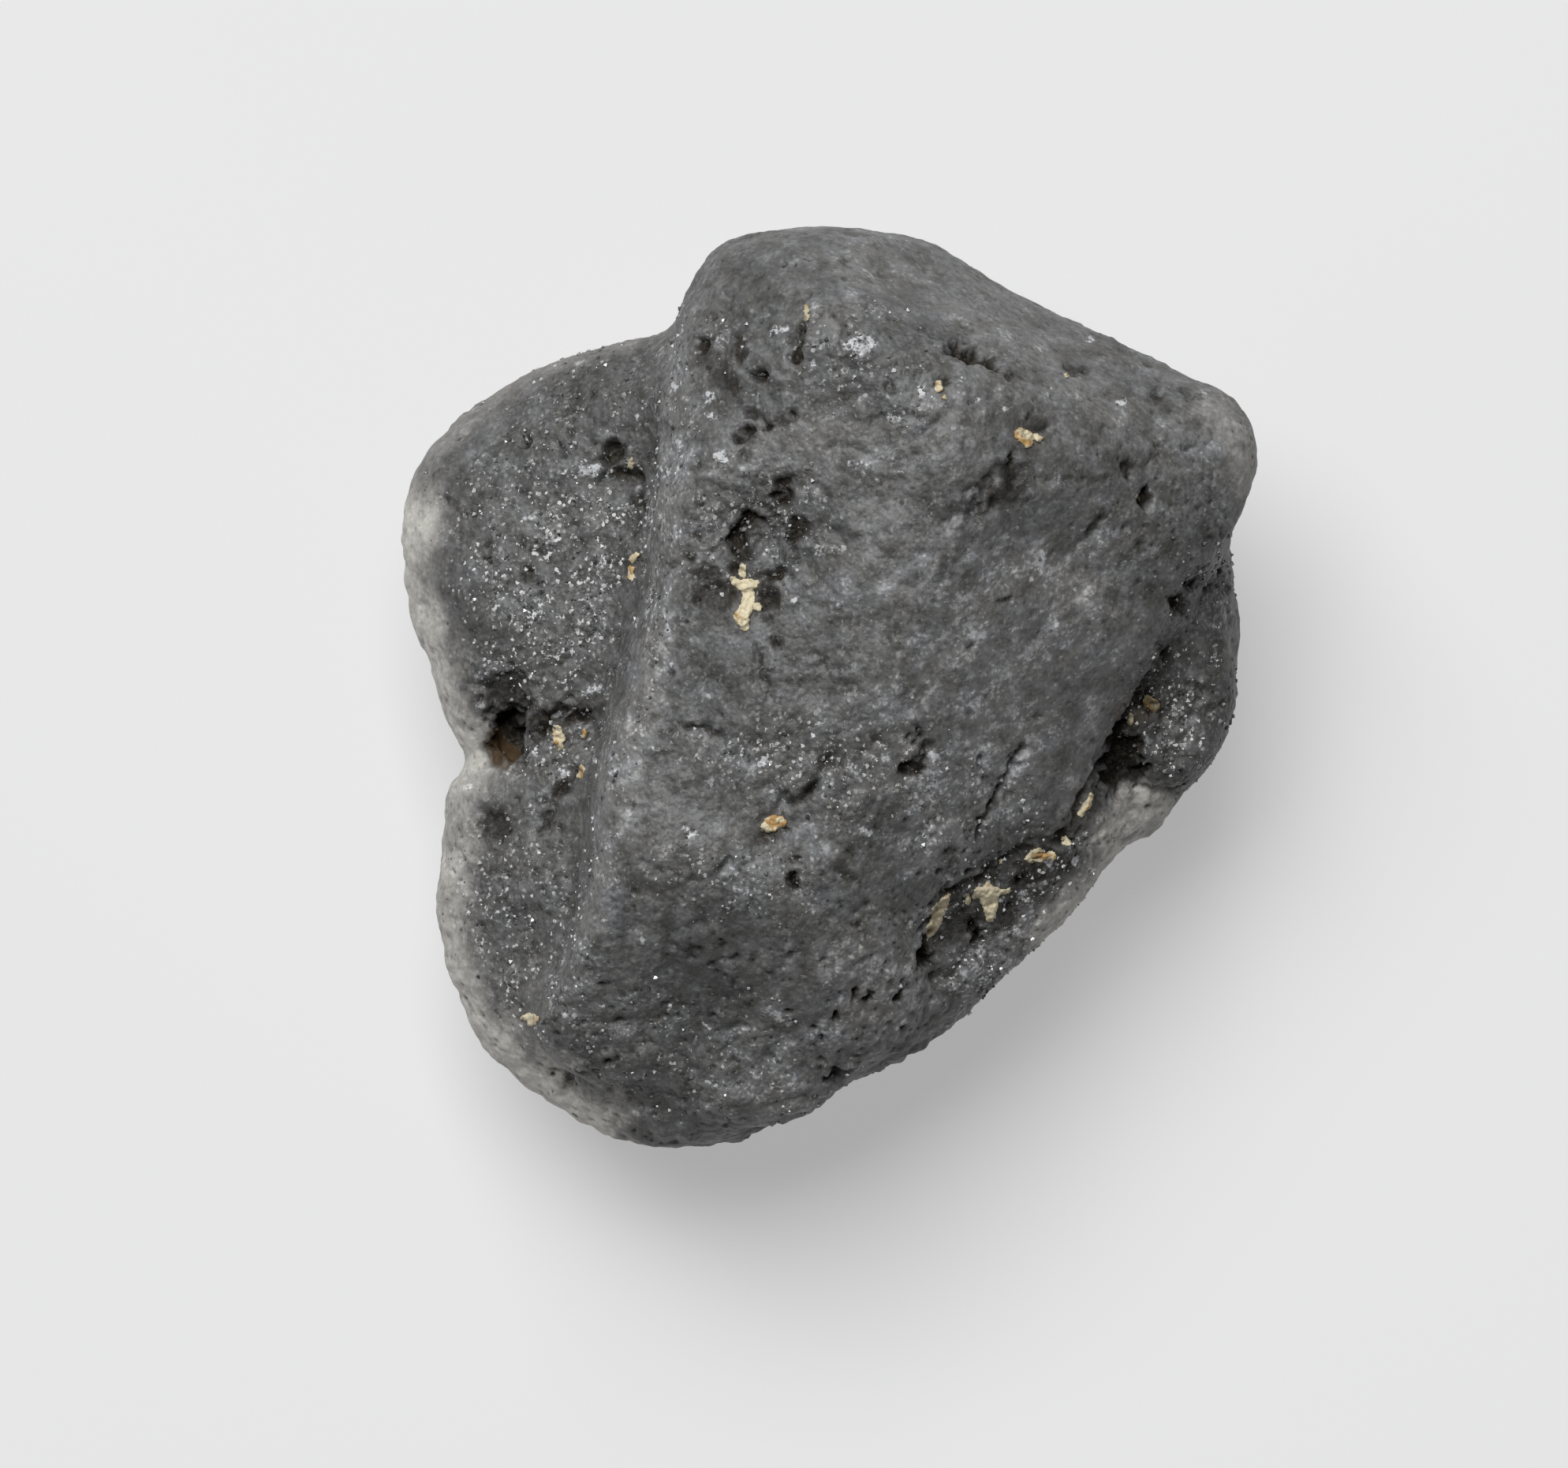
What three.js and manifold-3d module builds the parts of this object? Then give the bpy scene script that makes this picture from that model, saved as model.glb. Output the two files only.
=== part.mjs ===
// A rough diamond of the polycrystalline kind called bort: one dark grey stone, about 12 mm long, in which
// several crystals have grown into each other. A tall ridged crystal lies across the middle. Two thin lobes
// stick out on its left with a notch between them, and lower shoulders are grown on its right.
// Millimetres, +Z up. The stone rests on a flat cleavage face in the plane z = 0, and the origin is in that
// plane, under the middle of the stone's outline. +Y runs along the stone's length.

import * as THREE from "three";
import { mergeVertices } from "three/addons/utils/BufferGeometryUtils.js";
import { ImprovedNoise } from "three/addons/math/ImprovedNoise.js";
import Module from "manifold-3d";

// ---------------------------------------------------------------- driving dimensions

const LENGTH = 12.0; // along Y
const WIDTH = 11.2; // along X
const HEIGHT = 7.2; // from the resting face to the top of the ridged crystal
const CELL = 0.32; // edge of the grid that the surface is drawn on
const MARGIN = 3 * CELL; // empty border of that grid
const LOWEST = -0.5; // where that grid starts, under the floor
const UNDER_FLOOR = -0.25; // crystals that reach the floor end a little under it, for a clean cut
const EDGE_ROUND = 0.34; // how far the edges between a crystal's faces are worn round
const SEAM_ROUND = 0.28; // how far two crystals blend where they meet
const SETTLE_ROUNDS = 4; // how often the drawn surface is evened out and put back on the stone
const EVEN_OUT = 0.5; // how far each round moves a vertex toward the middle of its neighbours, 0 to 1
const LARGEST_PUSH = CELL / 3; // the most that a vertex is moved when it is put back
const SLOPE_STEP = 0.05; // how far apart the distance is read to find its slope
const LEAST_SLOPE = 0.3; // a weaker slope than this, squared, is not trusted
const JUST_INSIDE = -1e-3; // value given to a grid corner that is filled
const SAME_PLACE = 1e-5; // vertices closer than this are one
const OUTLINE_STEPS = 96; // straight pieces that stand for one curved outline

// Slow swells of the surface, as [wavelength, height], and where in the noise the stone lies.
const SWELLS = [
  [3.4, 0.13],
  [1.5, 0.07],
  [0.8, 0.035],
];
const SWELL_SHIFT = [7.3, 2.9, 5.1];

// ---------------------------------------------------------------- the crystals

// Each crystal has an outline seen from above, a waist (the height where it is that wide), how fast its sides
// draw in above and below the waist, and flat faces. A face is [x, y, z, toward, tilt]: a point on it, the
// compass angle from +X that it looks to, and its tilt, where 0 faces up, 90 sideways and 180 down.

const ridgeCrystal = {
  outline: [
    [-0.75, 5.97],
    [-1.46, 5.74],
    [-1.87, 5.12],
    [-2.0, 4.72],
    [-2.08, 4.3],
    [-2.22, 3.8],
    [-2.4, 2.4],
    [-2.5, 1.2],
    [-2.97, -0.2],
    [-3.16, -1.4],
    [-3.3, -2.7],
    [-3.58, -3.6],
    [-3.85, -4.45],
    [-3.45, -5.05],
    [-2.5, -5.32],
    [-1.5, -5.55],
    [-0.35, -5.68],
    [0.55, -5.05],
    [1.35, -4.4],
    [1.3, -3.4],
    [2.3, -2.2],
    [3.5, -1.35],
    [4.0, -0.4],
    [4.7, 0.9],
    [5.24, 2.0],
    [5.56, 2.95],
    [5.26, 3.72],
    [4.76, 3.92],
    [4.3, 4.2],
    [3.58, 4.66],
    [2.82, 5.0],
    [1.5, 5.78],
    [0.2, 6.02],
  ],
  waist: 4.1,
  above: 0.085,
  below: 0.07,
  faces: [
    [-1.2, 1.2, 6.55, 205, 13],
    [0.3, -0.4, 6.9, 322, 34],
    [1.94, -1.68, 5.5, 322, 48],
    [1.45, 4.35, 6.6, 62, 60],
    [-1.4, -3.9, 5.35, 262, 36],
    [-1.35, 5.0, 5.9, 140, 44],
    [4.9, 3.0, 5.3, 20, 38],
    [0.5, 0.5, HEIGHT, 250, 4],
    [3.4, -1.4, 2.4, 325, 128],
    [2.0, 5.3, 3.2, 65, 140],
    [5.3, 2.8, 3.4, 12, 140],
    [-0.8, -5.6, 2.4, 262, 138],
    [-3.2, -1.0, 2.0, 182, 128],
    [-1.2, 5.6, 3.2, 118, 138],
    [0, 0, UNDER_FLOOR, 0, 180],
  ],
};

const upperLobe = {
  outline: [
    [-1.2, 4.6],
    [-1.9, 4.62],
    [-2.7, 4.5],
    [-3.5, 4.27],
    [-4.11, 4.02],
    [-4.7, 3.72],
    [-5.42, 3.0],
    [-5.68, 2.2],
    [-5.64, 1.5],
    [-5.46, 0.9],
    [-5.22, 0.33],
    [-5.1, -0.32],
    [-4.72, -0.86],
    [-4.2, -0.98],
    [-3.4, -0.75],
    [-1.2, -0.6],
  ],
  waist: 2.7,
  above: 0.1,
  below: 0.12,
  faces: [
    [-3.4, 2.0, 4.15, 172, 14],
    [-5.1, 1.4, 3.45, 186, 48],
    [-4.3, 3.6, 3.5, 128, 38],
    [-4.9, 1.6, 1.7, 180, 140],
    [-3.6, 4.1, 1.9, 118, 135],
    [-3.6, 2.0, 0.75, 0, 180],
  ],
};

const lowerLobe = {
  outline: [
    [-2.2, -0.9],
    [-3.6, -0.85],
    [-4.35, -1.0],
    [-4.84, -1.14],
    [-5.03, -1.5],
    [-5.2, -2.7],
    [-5.22, -3.3],
    [-5.08, -3.85],
    [-4.8, -4.4],
    [-4.42, -4.92],
    [-3.98, -5.36],
    [-3.4, -5.76],
    [-2.7, -5.98],
    [-1.95, -6.06],
    [-1.2, -5.96],
    [-0.6, -5.5],
    [-0.6, -3.0],
  ],
  waist: 2.4,
  above: 0.11,
  below: 0.12,
  faces: [
    [-3.9, -2.4, 3.75, 190, 16],
    [-4.75, -2.7, 3.1, 190, 46],
    [-4.0, -4.75, 3.05, 222, 42],
    [-4.5, -2.8, 1.5, 190, 140],
    [-3.52, -5.16, 1.5, 232, 140],
    [-2.0, -5.2, 1.2, 258, 146],
    [-3.4, -3.0, 0.55, 0, 180],
  ],
};

const rightShoulder = {
  outline: [
    [3.0, 2.8],
    [5.1, 2.7],
    [5.28, 2.0],
    [5.3, 1.2],
    [5.38, 0.3],
    [5.36, -0.3],
    [5.06, -0.92],
    [4.58, -1.32],
    [4.0, -1.3],
    [3.4, -0.6],
    [2.8, 1.0],
  ],
  waist: 2.9,
  above: 0.12,
  below: 0.11,
  faces: [
    [4.7, 0.7, 4.45, 352, 30],
    [4.6, -0.5, 3.9, 330, 18],
    [4.9, 0.3, 1.8, 355, 138],
    [4.0, 0.5, 0.8, 0, 180],
  ],
};

const paleBud = {
  outline: [
    [3.2, -1.5],
    [3.8, -1.1],
    [4.4, -1.3],
    [4.45, -1.62],
    [4.14, -2.02],
    [3.62, -2.22],
    [3.2, -2.1],
  ],
  waist: 2.5,
  above: 0.25,
  below: 0.25,
  faces: [
    [3.95, -1.7, 3.3, 300, 24],
    [3.95, -1.7, 1.5, 310, 150],
    [3.9, -1.7, 1.3, 0, 180],
  ],
};

const lowerLedge = {
  outline: [
    [0.3, -3.2],
    [2.0, -1.8],
    [3.3, -1.2],
    [3.8, -1.5],
    [3.66, -2.15],
    [3.42, -2.6],
    [3.07, -3.11],
    [2.58, -3.64],
    [1.63, -4.5],
    [0.5, -5.1],
    [-0.2, -4.8],
  ],
  waist: 2.8,
  above: 0.13,
  below: 0.1,
  faces: [
    [2.3, -2.5, 4.45, 318, 34],
    [1.6, -3.6, 4.35, 312, 42],
    [2.4, -2.9, 1.2, 315, 138],
    [1.6, -3.0, 0.4, 0, 180],
  ],
};

// The body underneath that all of them grow from, down to the resting face.
const heart = {
  outline: [
    [-3.9, 2.9],
    [-2.2, 4.1],
    [0.4, 4.9],
    [2.9, 4.0],
    [4.5, 2.4],
    [4.6, 0.2],
    [3.2, -1.9],
    [1.2, -3.7],
    [-1.2, -4.7],
    [-3.4, -4.0],
    [-4.2, -2.2],
    [-4.0, -0.6],
    [-4.4, 1.2],
  ],
  waist: 2.6,
  above: 0.1,
  below: 0.16,
  faces: [
    [0, 0, 4.0, 0, 0],
    [-3.3, 0.6, 0.9, 184, 136],
    [-2.0, 3.1, 0.8, 122, 140],
    [1.6, 3.5, 0.9, 70, 133],
    [3.9, 1.2, 1.0, 5, 137],
    [2.2, -2.4, 0.9, 316, 141],
    [-1.8, -3.6, 0.8, 250, 137],
    [0, 0, UNDER_FLOOR, 0, 180],
  ],
};

const CRYSTALS = [ridgeCrystal, upperLobe, lowerLobe, rightShoulder, paleBud, lowerLedge, heart];

// Hollows and clefts, each a path with the radius of the rounded tool that follows it.
const HOLLOWS = [
  // hole beside the notch
  { path: [[-4.15, -0.4, 4.4], [-4.15, -0.5, 3.45], [-4.18, -0.76, 3.35], [-4.18, -0.76, 4.4]], radius: 0.2 },
  { path: [[-4.25, 0.0, 4.2], [-4.15, -0.15, 3.9]], radius: 0.2 }, // pit above it
  { path: [[-3.9, -0.66, 4.3], [-3.1, -0.72, 4.4]], radius: 0.2 }, // cleft up to the ridged crystal
  { path: [[-2.5, 3.0, 4.8], [-2.45, 2.7, 4.6]], radius: 0.26 }, // hollow under the wall
  { path: [[3.95, -0.95, 4.7], [3.9, -1.05, 4.1]], radius: 0.2 }, // cleft under the right shoulder
];

// Shallow dishes in the faces, as [x, y, radius, depth]. They are sunk from above.
const DISHES = [
  [-0.95, 1.75, 0.85, 0.22],
  [3.1, 1.8, 0.95, 0.24],
  [-0.65, -1.85, 0.8, 0.18],
  [2.7, 3.25, 0.5, 0.14],
  [-1.2, 3.5, 0.6, 0.15],
  [-1.6, -4.4, 0.9, 0.16],
];
const DISH_FLOOR = 3.9; // dishes are only sunk in what lies above this height
const DISH_FALL = 1.4; // how steeply a dish rises from its middle

// ---------------------------------------------------------------- distances

function closedOutline(points) {
  const curve = new THREE.CatmullRomCurve3(
    points.map(([x, y]) => new THREE.Vector3(x, y, 0)),
    true,
    "centripetal",
  );
  return curve.getPoints(OUTLINE_STEPS).slice(0, OUTLINE_STEPS);
}

// Signed distance in the plane from a point to a closed outline, negative inside. For each side of the outline
// t says where the nearest point lies along it. A line that runs from the point toward +X crosses the outline
// an odd number of times if the point is inside.
function outlineDistance(outline, x, y) {
  let nearest = Infinity;
  let inside = false;
  let a = outline[outline.length - 1];
  for (const b of outline) {
    const ex = b.x - a.x;
    const ey = b.y - a.y;
    const wx = x - a.x;
    const wy = y - a.y;
    const t = THREE.MathUtils.clamp((wx * ex + wy * ey) / (ex * ex + ey * ey), 0, 1);
    nearest = Math.min(nearest, Math.hypot(wx - t * ex, wy - t * ey));
    if (a.y > y !== b.y > y && x < a.x + ((y - a.y) / ey) * ex) inside = !inside;
    a = b;
  }
  return inside ? -nearest : nearest;
}

// The larger of two distances, with the corner between them rounded.
function roundedMax(a, b, round) {
  const overlap = Math.max(round - Math.abs(a - b), 0);
  return Math.max(a, b) + (overlap * overlap) / (4 * round);
}

function roundedMin(a, b, round) {
  return -roundedMax(-a, -b, round);
}

function faceNormal(toward, tilt) {
  const t = THREE.MathUtils.degToRad(toward);
  const s = THREE.MathUtils.degToRad(tilt);
  return new THREE.Vector3(Math.cos(t) * Math.sin(s), Math.sin(t) * Math.sin(s), Math.cos(s));
}

function prepared(crystal) {
  const faces = crystal.faces.map(([x, y, z, toward, tilt]) => {
    const normal = faceNormal(toward, tilt);
    return { normal, offset: normal.dot(new THREE.Vector3(x, y, z)) };
  });
  return { ...crystal, faces, curve: closedOutline(crystal.outline) };
}

function crystalDistance(crystal, p) {
  const rise = p.z - crystal.waist;
  const drawIn = (rise > 0 ? crystal.above : crystal.below) * rise * rise;
  let distance = outlineDistance(crystal.curve, p.x, p.y) + drawIn;
  for (const face of crystal.faces) {
    distance = roundedMax(distance, face.normal.dot(p) - face.offset, EDGE_ROUND);
  }
  return distance;
}

function pathDistance(path, p) {
  let nearest = Infinity;
  for (let i = 1; i < path.length; i++) {
    const line = new THREE.Line3(path[i - 1], path[i]);
    nearest = Math.min(nearest, line.closestPointToPoint(p, true, new THREE.Vector3()).distanceTo(p));
  }
  return nearest;
}

const crystals = CRYSTALS.map(prepared);
const hollows = HOLLOWS.map(({ path, radius }) => ({
  path: path.map((point) => new THREE.Vector3(...point)),
  radius,
}));
const noise = new ImprovedNoise();

function swell(p) {
  return SWELLS.reduce(
    (sum, [wave, height]) => {
      const [x, y, z] = p.toArray().map((value, axis) => value / wave + SWELL_SHIFT[axis]);
      return sum + height * noise.noise(x, y, z);
    },
    0,
  );
}

function dishDepth(p) {
  const reach = THREE.MathUtils.smoothstep(p.z, DISH_FLOOR, DISH_FLOOR + 1);
  return DISHES.reduce((sum, [x, y, radius, depth]) => {
    const away = Math.hypot(p.x - x, p.y - y) / radius;
    return sum + reach * depth * Math.exp(-away * away * DISH_FALL);
  }, 0);
}

// Signed distance to the whole stone, negative inside.
function stoneDistance(p) {
  let distance = Infinity;
  for (const crystal of crystals) {
    distance = roundedMin(distance, crystalDistance(crystal, p), SEAM_ROUND);
  }
  distance += swell(p) + dishDepth(p);
  for (const { path, radius } of hollows) {
    distance = roundedMax(distance, radius - pathDistance(path, p), SEAM_ROUND);
  }
  return distance;
}

// ---------------------------------------------------------------- the surface

// Where two corners of a grid square are inside and the other two, across from them, are outside, the stone
// would touch itself along a line with no thickness. One of the outside corners is filled.
function fillPinches(values, [nx, ny, nz]) {
  const strides = [1, nx, nx * ny];
  let filled = true;
  while (filled) {
    filled = false;
    for (let here = 0; here < nx * ny * (nz - 1) - nx - 1; here++)
      for (const [u, v] of [[0, 1], [1, 2], [2, 0]]) {
        const square = [here, here + strides[u], here + strides[u] + strides[v], here + strides[v]];
        const inside = square.map((corner) => values[corner] < 0);
        if (inside[0] !== inside[2] || inside[1] !== inside[3] || inside[0] === inside[1]) continue;
        values[square[inside[0] ? 1 : 0]] = JUST_INSIDE;
        filled = true;
      }
  }
}

// Draws the surface where the distance is 0: one vertex in each grid cell that the surface crosses, in the
// middle of its crossings, and one quad for each grid edge that it crosses.
function surfaceNet(distanceAt, low, high, cell) {
  const size = high.clone().sub(low).divideScalar(cell).ceil().addScalar(1);
  const [nx, ny, nz] = size.toArray();
  const at = (i, j, k) => i + nx * (j + ny * k);
  const values = new Float64Array(nx * ny * nz);
  const p = new THREE.Vector3();
  for (let k = 0; k < nz; k++)
    for (let j = 0; j < ny; j++)
      for (let i = 0; i < nx; i++) {
        p.set(i, j, k).multiplyScalar(cell).add(low);
        values[at(i, j, k)] = distanceAt(p);
      }

  fillPinches(values, size.toArray());

  const corners = [0, 1, 2, 3, 4, 5, 6, 7].map((c) => [c & 1, (c >> 1) & 1, c >> 2]);
  const cellEdges = [1, 2, 4].flatMap((bit) =>
    [0, 1, 2, 3, 4, 5, 6, 7].filter((c) => !(c & bit)).map((c) => [c, c | bit]),
  );

  const vertexOf = new Int32Array(values.length).fill(-1);
  const vertices = [];
  for (let k = 0; k < nz - 1; k++)
    for (let j = 0; j < ny - 1; j++)
      for (let i = 0; i < nx - 1; i++) {
        const crossings = [];
        for (const [a, b] of cellEdges) {
          const [ai, aj, ak] = corners[a];
          const [bi, bj, bk] = corners[b];
          const va = values[at(i + ai, j + aj, k + ak)];
          const vb = values[at(i + bi, j + bj, k + bk)];
          if (va < 0 === vb < 0) continue;
          const start = new THREE.Vector3(i + ai, j + aj, k + ak);
          crossings.push(start.lerp(new THREE.Vector3(i + bi, j + bj, k + bk), va / (va - vb)));
        }
        if (!crossings.length) continue;
        const middle = crossings.reduce((sum, c) => sum.add(c), new THREE.Vector3());
        vertexOf[at(i, j, k)] = vertices.length;
        vertices.push(middle.divideScalar(crossings.length).multiplyScalar(cell).add(low));
      }

  const triangles = [];
  const addQuad = (a, b, c, d) => {
    if (vertices[a].distanceTo(vertices[c]) < vertices[b].distanceTo(vertices[d])) {
      triangles.push(a, b, c, a, c, d);
    } else {
      triangles.push(b, c, d, b, d, a);
    }
  };
  const steps = [
    [1, 0, 0],
    [0, 1, 0],
    [0, 0, 1],
  ];
  for (let k = 1; k < nz - 1; k++)
    for (let j = 1; j < ny - 1; j++)
      for (let i = 1; i < nx - 1; i++)
        steps.forEach((step, axis) => {
          const here = values[at(i, j, k)] < 0;
          const there = values[at(i + step[0], j + step[1], k + step[2])] < 0;
          if (here === there) return;
          const u = steps[(axis + 1) % 3];
          const v = steps[(axis + 2) % 3];
          const cellAt = (a, b) =>
            vertexOf[at(i - a * u[0] - b * v[0], j - a * u[1] - b * v[1], k - a * u[2] - b * v[2])];
          const quad = [cellAt(1, 1), cellAt(0, 1), cellAt(0, 0), cellAt(1, 0)];
          if (!here) quad.reverse();
          addQuad(...quad);
        });
  return { vertices, triangles };
}

// Moves each vertex toward the middle of its neighbours, which evens out the triangles.
function relax({ vertices, triangles }) {
  const sums = vertices.map(() => new THREE.Vector3());
  const counts = new Array(vertices.length).fill(0);
  for (let t = 0; t < triangles.length; t += 3)
    for (let side = 0; side < 3; side++) {
      const from = triangles[t + side];
      const to = triangles[t + ((side + 1) % 3)];
      sums[to].add(vertices[from]);
      counts[to] += 1;
    }
  vertices.forEach((v, i) => v.lerp(sums[i].divideScalar(counts[i]), EVEN_OUT));
}

// Moves each vertex onto the surface, along the slope of the distance.
function settle({ vertices }, distanceAt) {
  for (const v of vertices) {
    const here = distanceAt(v);
    const slope = new THREE.Vector3(
      distanceAt(v.clone().setX(v.x + SLOPE_STEP)) - here,
      distanceAt(v.clone().setY(v.y + SLOPE_STEP)) - here,
      distanceAt(v.clone().setZ(v.z + SLOPE_STEP)) - here,
    ).divideScalar(SLOPE_STEP);
    const wanted = -here / Math.max(slope.lengthSq(), LEAST_SLOPE);
    const push = THREE.MathUtils.clamp(wanted, -LARGEST_PUSH, LARGEST_PUSH);
    v.addScaledVector(slope, push);
  }
}

function solidFrom(geometry, wasm) {
  const bare = new THREE.BufferGeometry().setAttribute("position", geometry.getAttribute("position"));
  if (geometry.index) bare.setIndex(geometry.index);
  const merged = mergeVertices(bare, SAME_PLACE);
  return new wasm.Manifold(
    new wasm.Mesh({
      numProp: 3,
      vertProperties: new Float32Array(merged.getAttribute("position").array),
      triVerts: new Uint32Array(merged.index.array),
    }),
  );
}

function geometryFrom(solid) {
  const mesh = solid.getMesh();
  const geometry = new THREE.BufferGeometry();
  geometry.setAttribute("position", new THREE.BufferAttribute(mesh.vertProperties, 3));
  geometry.setIndex(new THREE.BufferAttribute(mesh.triVerts, 1));
  geometry.computeVertexNormals();
  return geometry;
}

// ---------------------------------------------------------------- the stone

const wasm = await Module();
wasm.setup();

const low = new THREE.Vector3(-WIDTH / 2, -LENGTH / 2, LOWEST).addScalar(-MARGIN);
const high = new THREE.Vector3(WIDTH / 2, LENGTH / 2, HEIGHT).addScalar(MARGIN);
const net = surfaceNet(stoneDistance, low, high, CELL);
for (let round = 0; round < SETTLE_ROUNDS; round++) {
  relax(net);
  settle(net, stoneDistance);
}

const netGeometry = new THREE.BufferGeometry().setFromPoints(net.vertices);
netGeometry.setIndex(net.triangles);

// The cleavage face that the stone rests on is cut flat, by a block under the plane z = 0.
const belowFloor = new THREE.BoxGeometry(3 * WIDTH, 3 * LENGTH, HEIGHT);
belowFloor.translate(0, 0, -HEIGHT / 2);
const stoneSolid = solidFrom(netGeometry, wasm).subtract(solidFrom(belowFloor, wasm));

const stone = new THREE.Mesh(
  geometryFrom(stoneSolid),
  new THREE.MeshStandardMaterial({ color: 0x5b5a59, roughness: 0.62, metalness: 0 }),
);
stone.name = "diamond";

// The origin goes under the middle of the outline.
stone.geometry.computeBoundingBox();
const middle = stone.geometry.boundingBox.getCenter(new THREE.Vector3());
stone.geometry.translate(-middle.x, -middle.y, 0);

const roughDiamond = new THREE.Group();
roughDiamond.add(stone);

export default roughDiamond;
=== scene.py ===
# %% [markdown]
# # A rough diamond, twelve millimetres long
#
# This script dresses one small stone. The stone is a dark grey diamond of the grainy kind called
# bort: several crystals that grew into each other, worn round by a river, with pits, cracks and a
# few crumbs of pale clay caught in them. Its plain solid comes from the shared frame. Blender adds
# what makes it look like a stone: the small shape of its surface and its finish.

import math
from types import SimpleNamespace

import bmesh
import bpy
import numpy as np
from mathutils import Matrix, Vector, noise
from mathutils.bvhtree import BVHTree


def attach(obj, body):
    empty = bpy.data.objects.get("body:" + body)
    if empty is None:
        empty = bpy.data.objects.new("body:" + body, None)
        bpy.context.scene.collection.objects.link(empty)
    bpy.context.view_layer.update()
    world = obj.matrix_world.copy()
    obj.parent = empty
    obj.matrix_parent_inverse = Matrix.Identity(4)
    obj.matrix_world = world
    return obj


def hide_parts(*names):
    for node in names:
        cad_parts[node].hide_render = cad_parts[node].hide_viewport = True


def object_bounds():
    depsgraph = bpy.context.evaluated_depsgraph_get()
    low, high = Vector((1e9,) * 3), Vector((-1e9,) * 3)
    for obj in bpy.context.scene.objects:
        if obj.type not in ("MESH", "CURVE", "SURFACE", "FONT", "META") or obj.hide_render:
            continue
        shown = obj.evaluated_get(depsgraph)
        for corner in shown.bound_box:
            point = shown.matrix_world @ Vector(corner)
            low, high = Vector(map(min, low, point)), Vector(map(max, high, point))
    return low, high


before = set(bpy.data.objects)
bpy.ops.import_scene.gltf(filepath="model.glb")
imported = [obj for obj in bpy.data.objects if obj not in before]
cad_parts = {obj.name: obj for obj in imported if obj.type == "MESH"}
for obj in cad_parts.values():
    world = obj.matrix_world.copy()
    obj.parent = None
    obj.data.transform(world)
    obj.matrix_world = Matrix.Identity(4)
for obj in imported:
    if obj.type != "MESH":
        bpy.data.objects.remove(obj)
cad_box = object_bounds()
cad_size = [1000 * (high - low) for low, high in zip(*cad_box)]
print("stone in the frame, mm:", [round(side, 2) for side in cad_size])

# %% [markdown]
# ## A survey grid over the stone
#
# Pits and cracks sit where chance put them, so each one needs its own place. A map maker would lay
# a grid over the stone and read the places off it, looking straight down. The same is done here:
# places are written in grid steps, x to the right and y down, and `spot` turns them into
# millimetres. A tall stone hides some of what lies beside it and looks bigger near its top, so
# `seen_from_above` finds where each point of the surface appears on that grid.

# %% The survey grid
MM = 0.001
GRID_PER_MM = 97.0
GRID_SIZE = (1988, 1861)
STONE_MIDDLE = (1048.0, 875.7)
READING_HEIGHT = 3.5
EYE_HEIGHT = 150.0


def spot(x, y):
    """The place in millimetres of a spot on the survey grid."""
    return np.array([(x - STONE_MIDDLE[0]) / GRID_PER_MM, (STONE_MIDDLE[1] - y) / GRID_PER_MM])


EYE = spot(GRID_SIZE[0] / 2, GRID_SIZE[1] / 2)


def seen_from_above(points):
    """Where points of the stone appear to the eye on the plane at the reading height."""
    grow = (EYE_HEIGHT - READING_HEIGHT) / (EYE_HEIGHT - points[:, 2:3])
    return EYE + (points[:, :2] - EYE) * grow


print("eye above the stone, mm:", EYE.round(3), EYE_HEIGHT)

# %% [markdown]
# ## Camera, light and table
#
# A gem is shown from straight above through a long lens, on a white table. The lens is as
# long as it takes for one grid step to fill one step of the picture. The light is a bright, cloudy
# room: an even glow from all sides, and one large lamp high above, which is moved toward the
# stone's far end, so that the soft shadow falls the other way. A large lamp is used, not a small
# one, because only a large one gives such a soft edge to the shadow.

# %% Camera
SENSOR = 36.0


def placed(name, data):
    """A new object in the scene, made from its data."""
    made = bpy.data.objects.new(name, data)
    bpy.context.scene.collection.objects.link(made)
    return made


def make_camera():
    """A camera that looks straight down on the stone."""
    camera = placed("camera", bpy.data.cameras.new("camera"))
    camera.location = (EYE[0] * MM, EYE[1] * MM, EYE_HEIGHT * MM)
    camera.data.sensor_width = SENSOR
    camera.data.lens = SENSOR * GRID_PER_MM * (EYE_HEIGHT - READING_HEIGHT) / GRID_SIZE[0]
    camera.data.clip_start = 0.01
    camera.data.clip_end = 10.0
    return camera


bpy.context.scene.camera = make_camera()
bpy.context.scene.view_settings.view_transform = "Standard"
print("lens, mm:", round(bpy.context.scene.camera.data.lens, 1))

# %% Lights
ROOM_GLOW = 0.74
LAMP_SIDE = 0.34
LAMP_PLACE = Vector((-0.10, 0.24, 0.42))
LAMP_WATTS = 3.4


def make_lamp(name, place, side, watts):
    """A square soft lamp that looks at the stone."""
    lamp = placed(name, bpy.data.lights.new(name, "AREA"))
    lamp.location = place
    lamp.rotation_euler = (-place).to_track_quat("-Z", "Y").to_euler()
    lamp.data.size = side
    lamp.data.energy = watts


def make_room_glow():
    """An even glow from all sides."""
    world = bpy.data.worlds.new("room")
    world.use_nodes = True
    world.node_tree.nodes["Background"].inputs["Strength"].default_value = ROOM_GLOW
    bpy.context.scene.world = world


make_room_glow()
make_lamp("high_soft_lamp", LAMP_PLACE, LAMP_SIDE, LAMP_WATTS)
print("lights: room glow and one soft lamp")

# %% [markdown]
# ## Writing a finish as sums
#
# A finish is a tree of nodes. Placing every Math node by hand hides what it works out, so one small
# class, `Wire`, stands for a node's output and can be added, multiplied and subtracted like a
# number. `Board.node` adds every other kind of node: its settings first, then its sockets.

# %% Nodes written as sums


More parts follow.
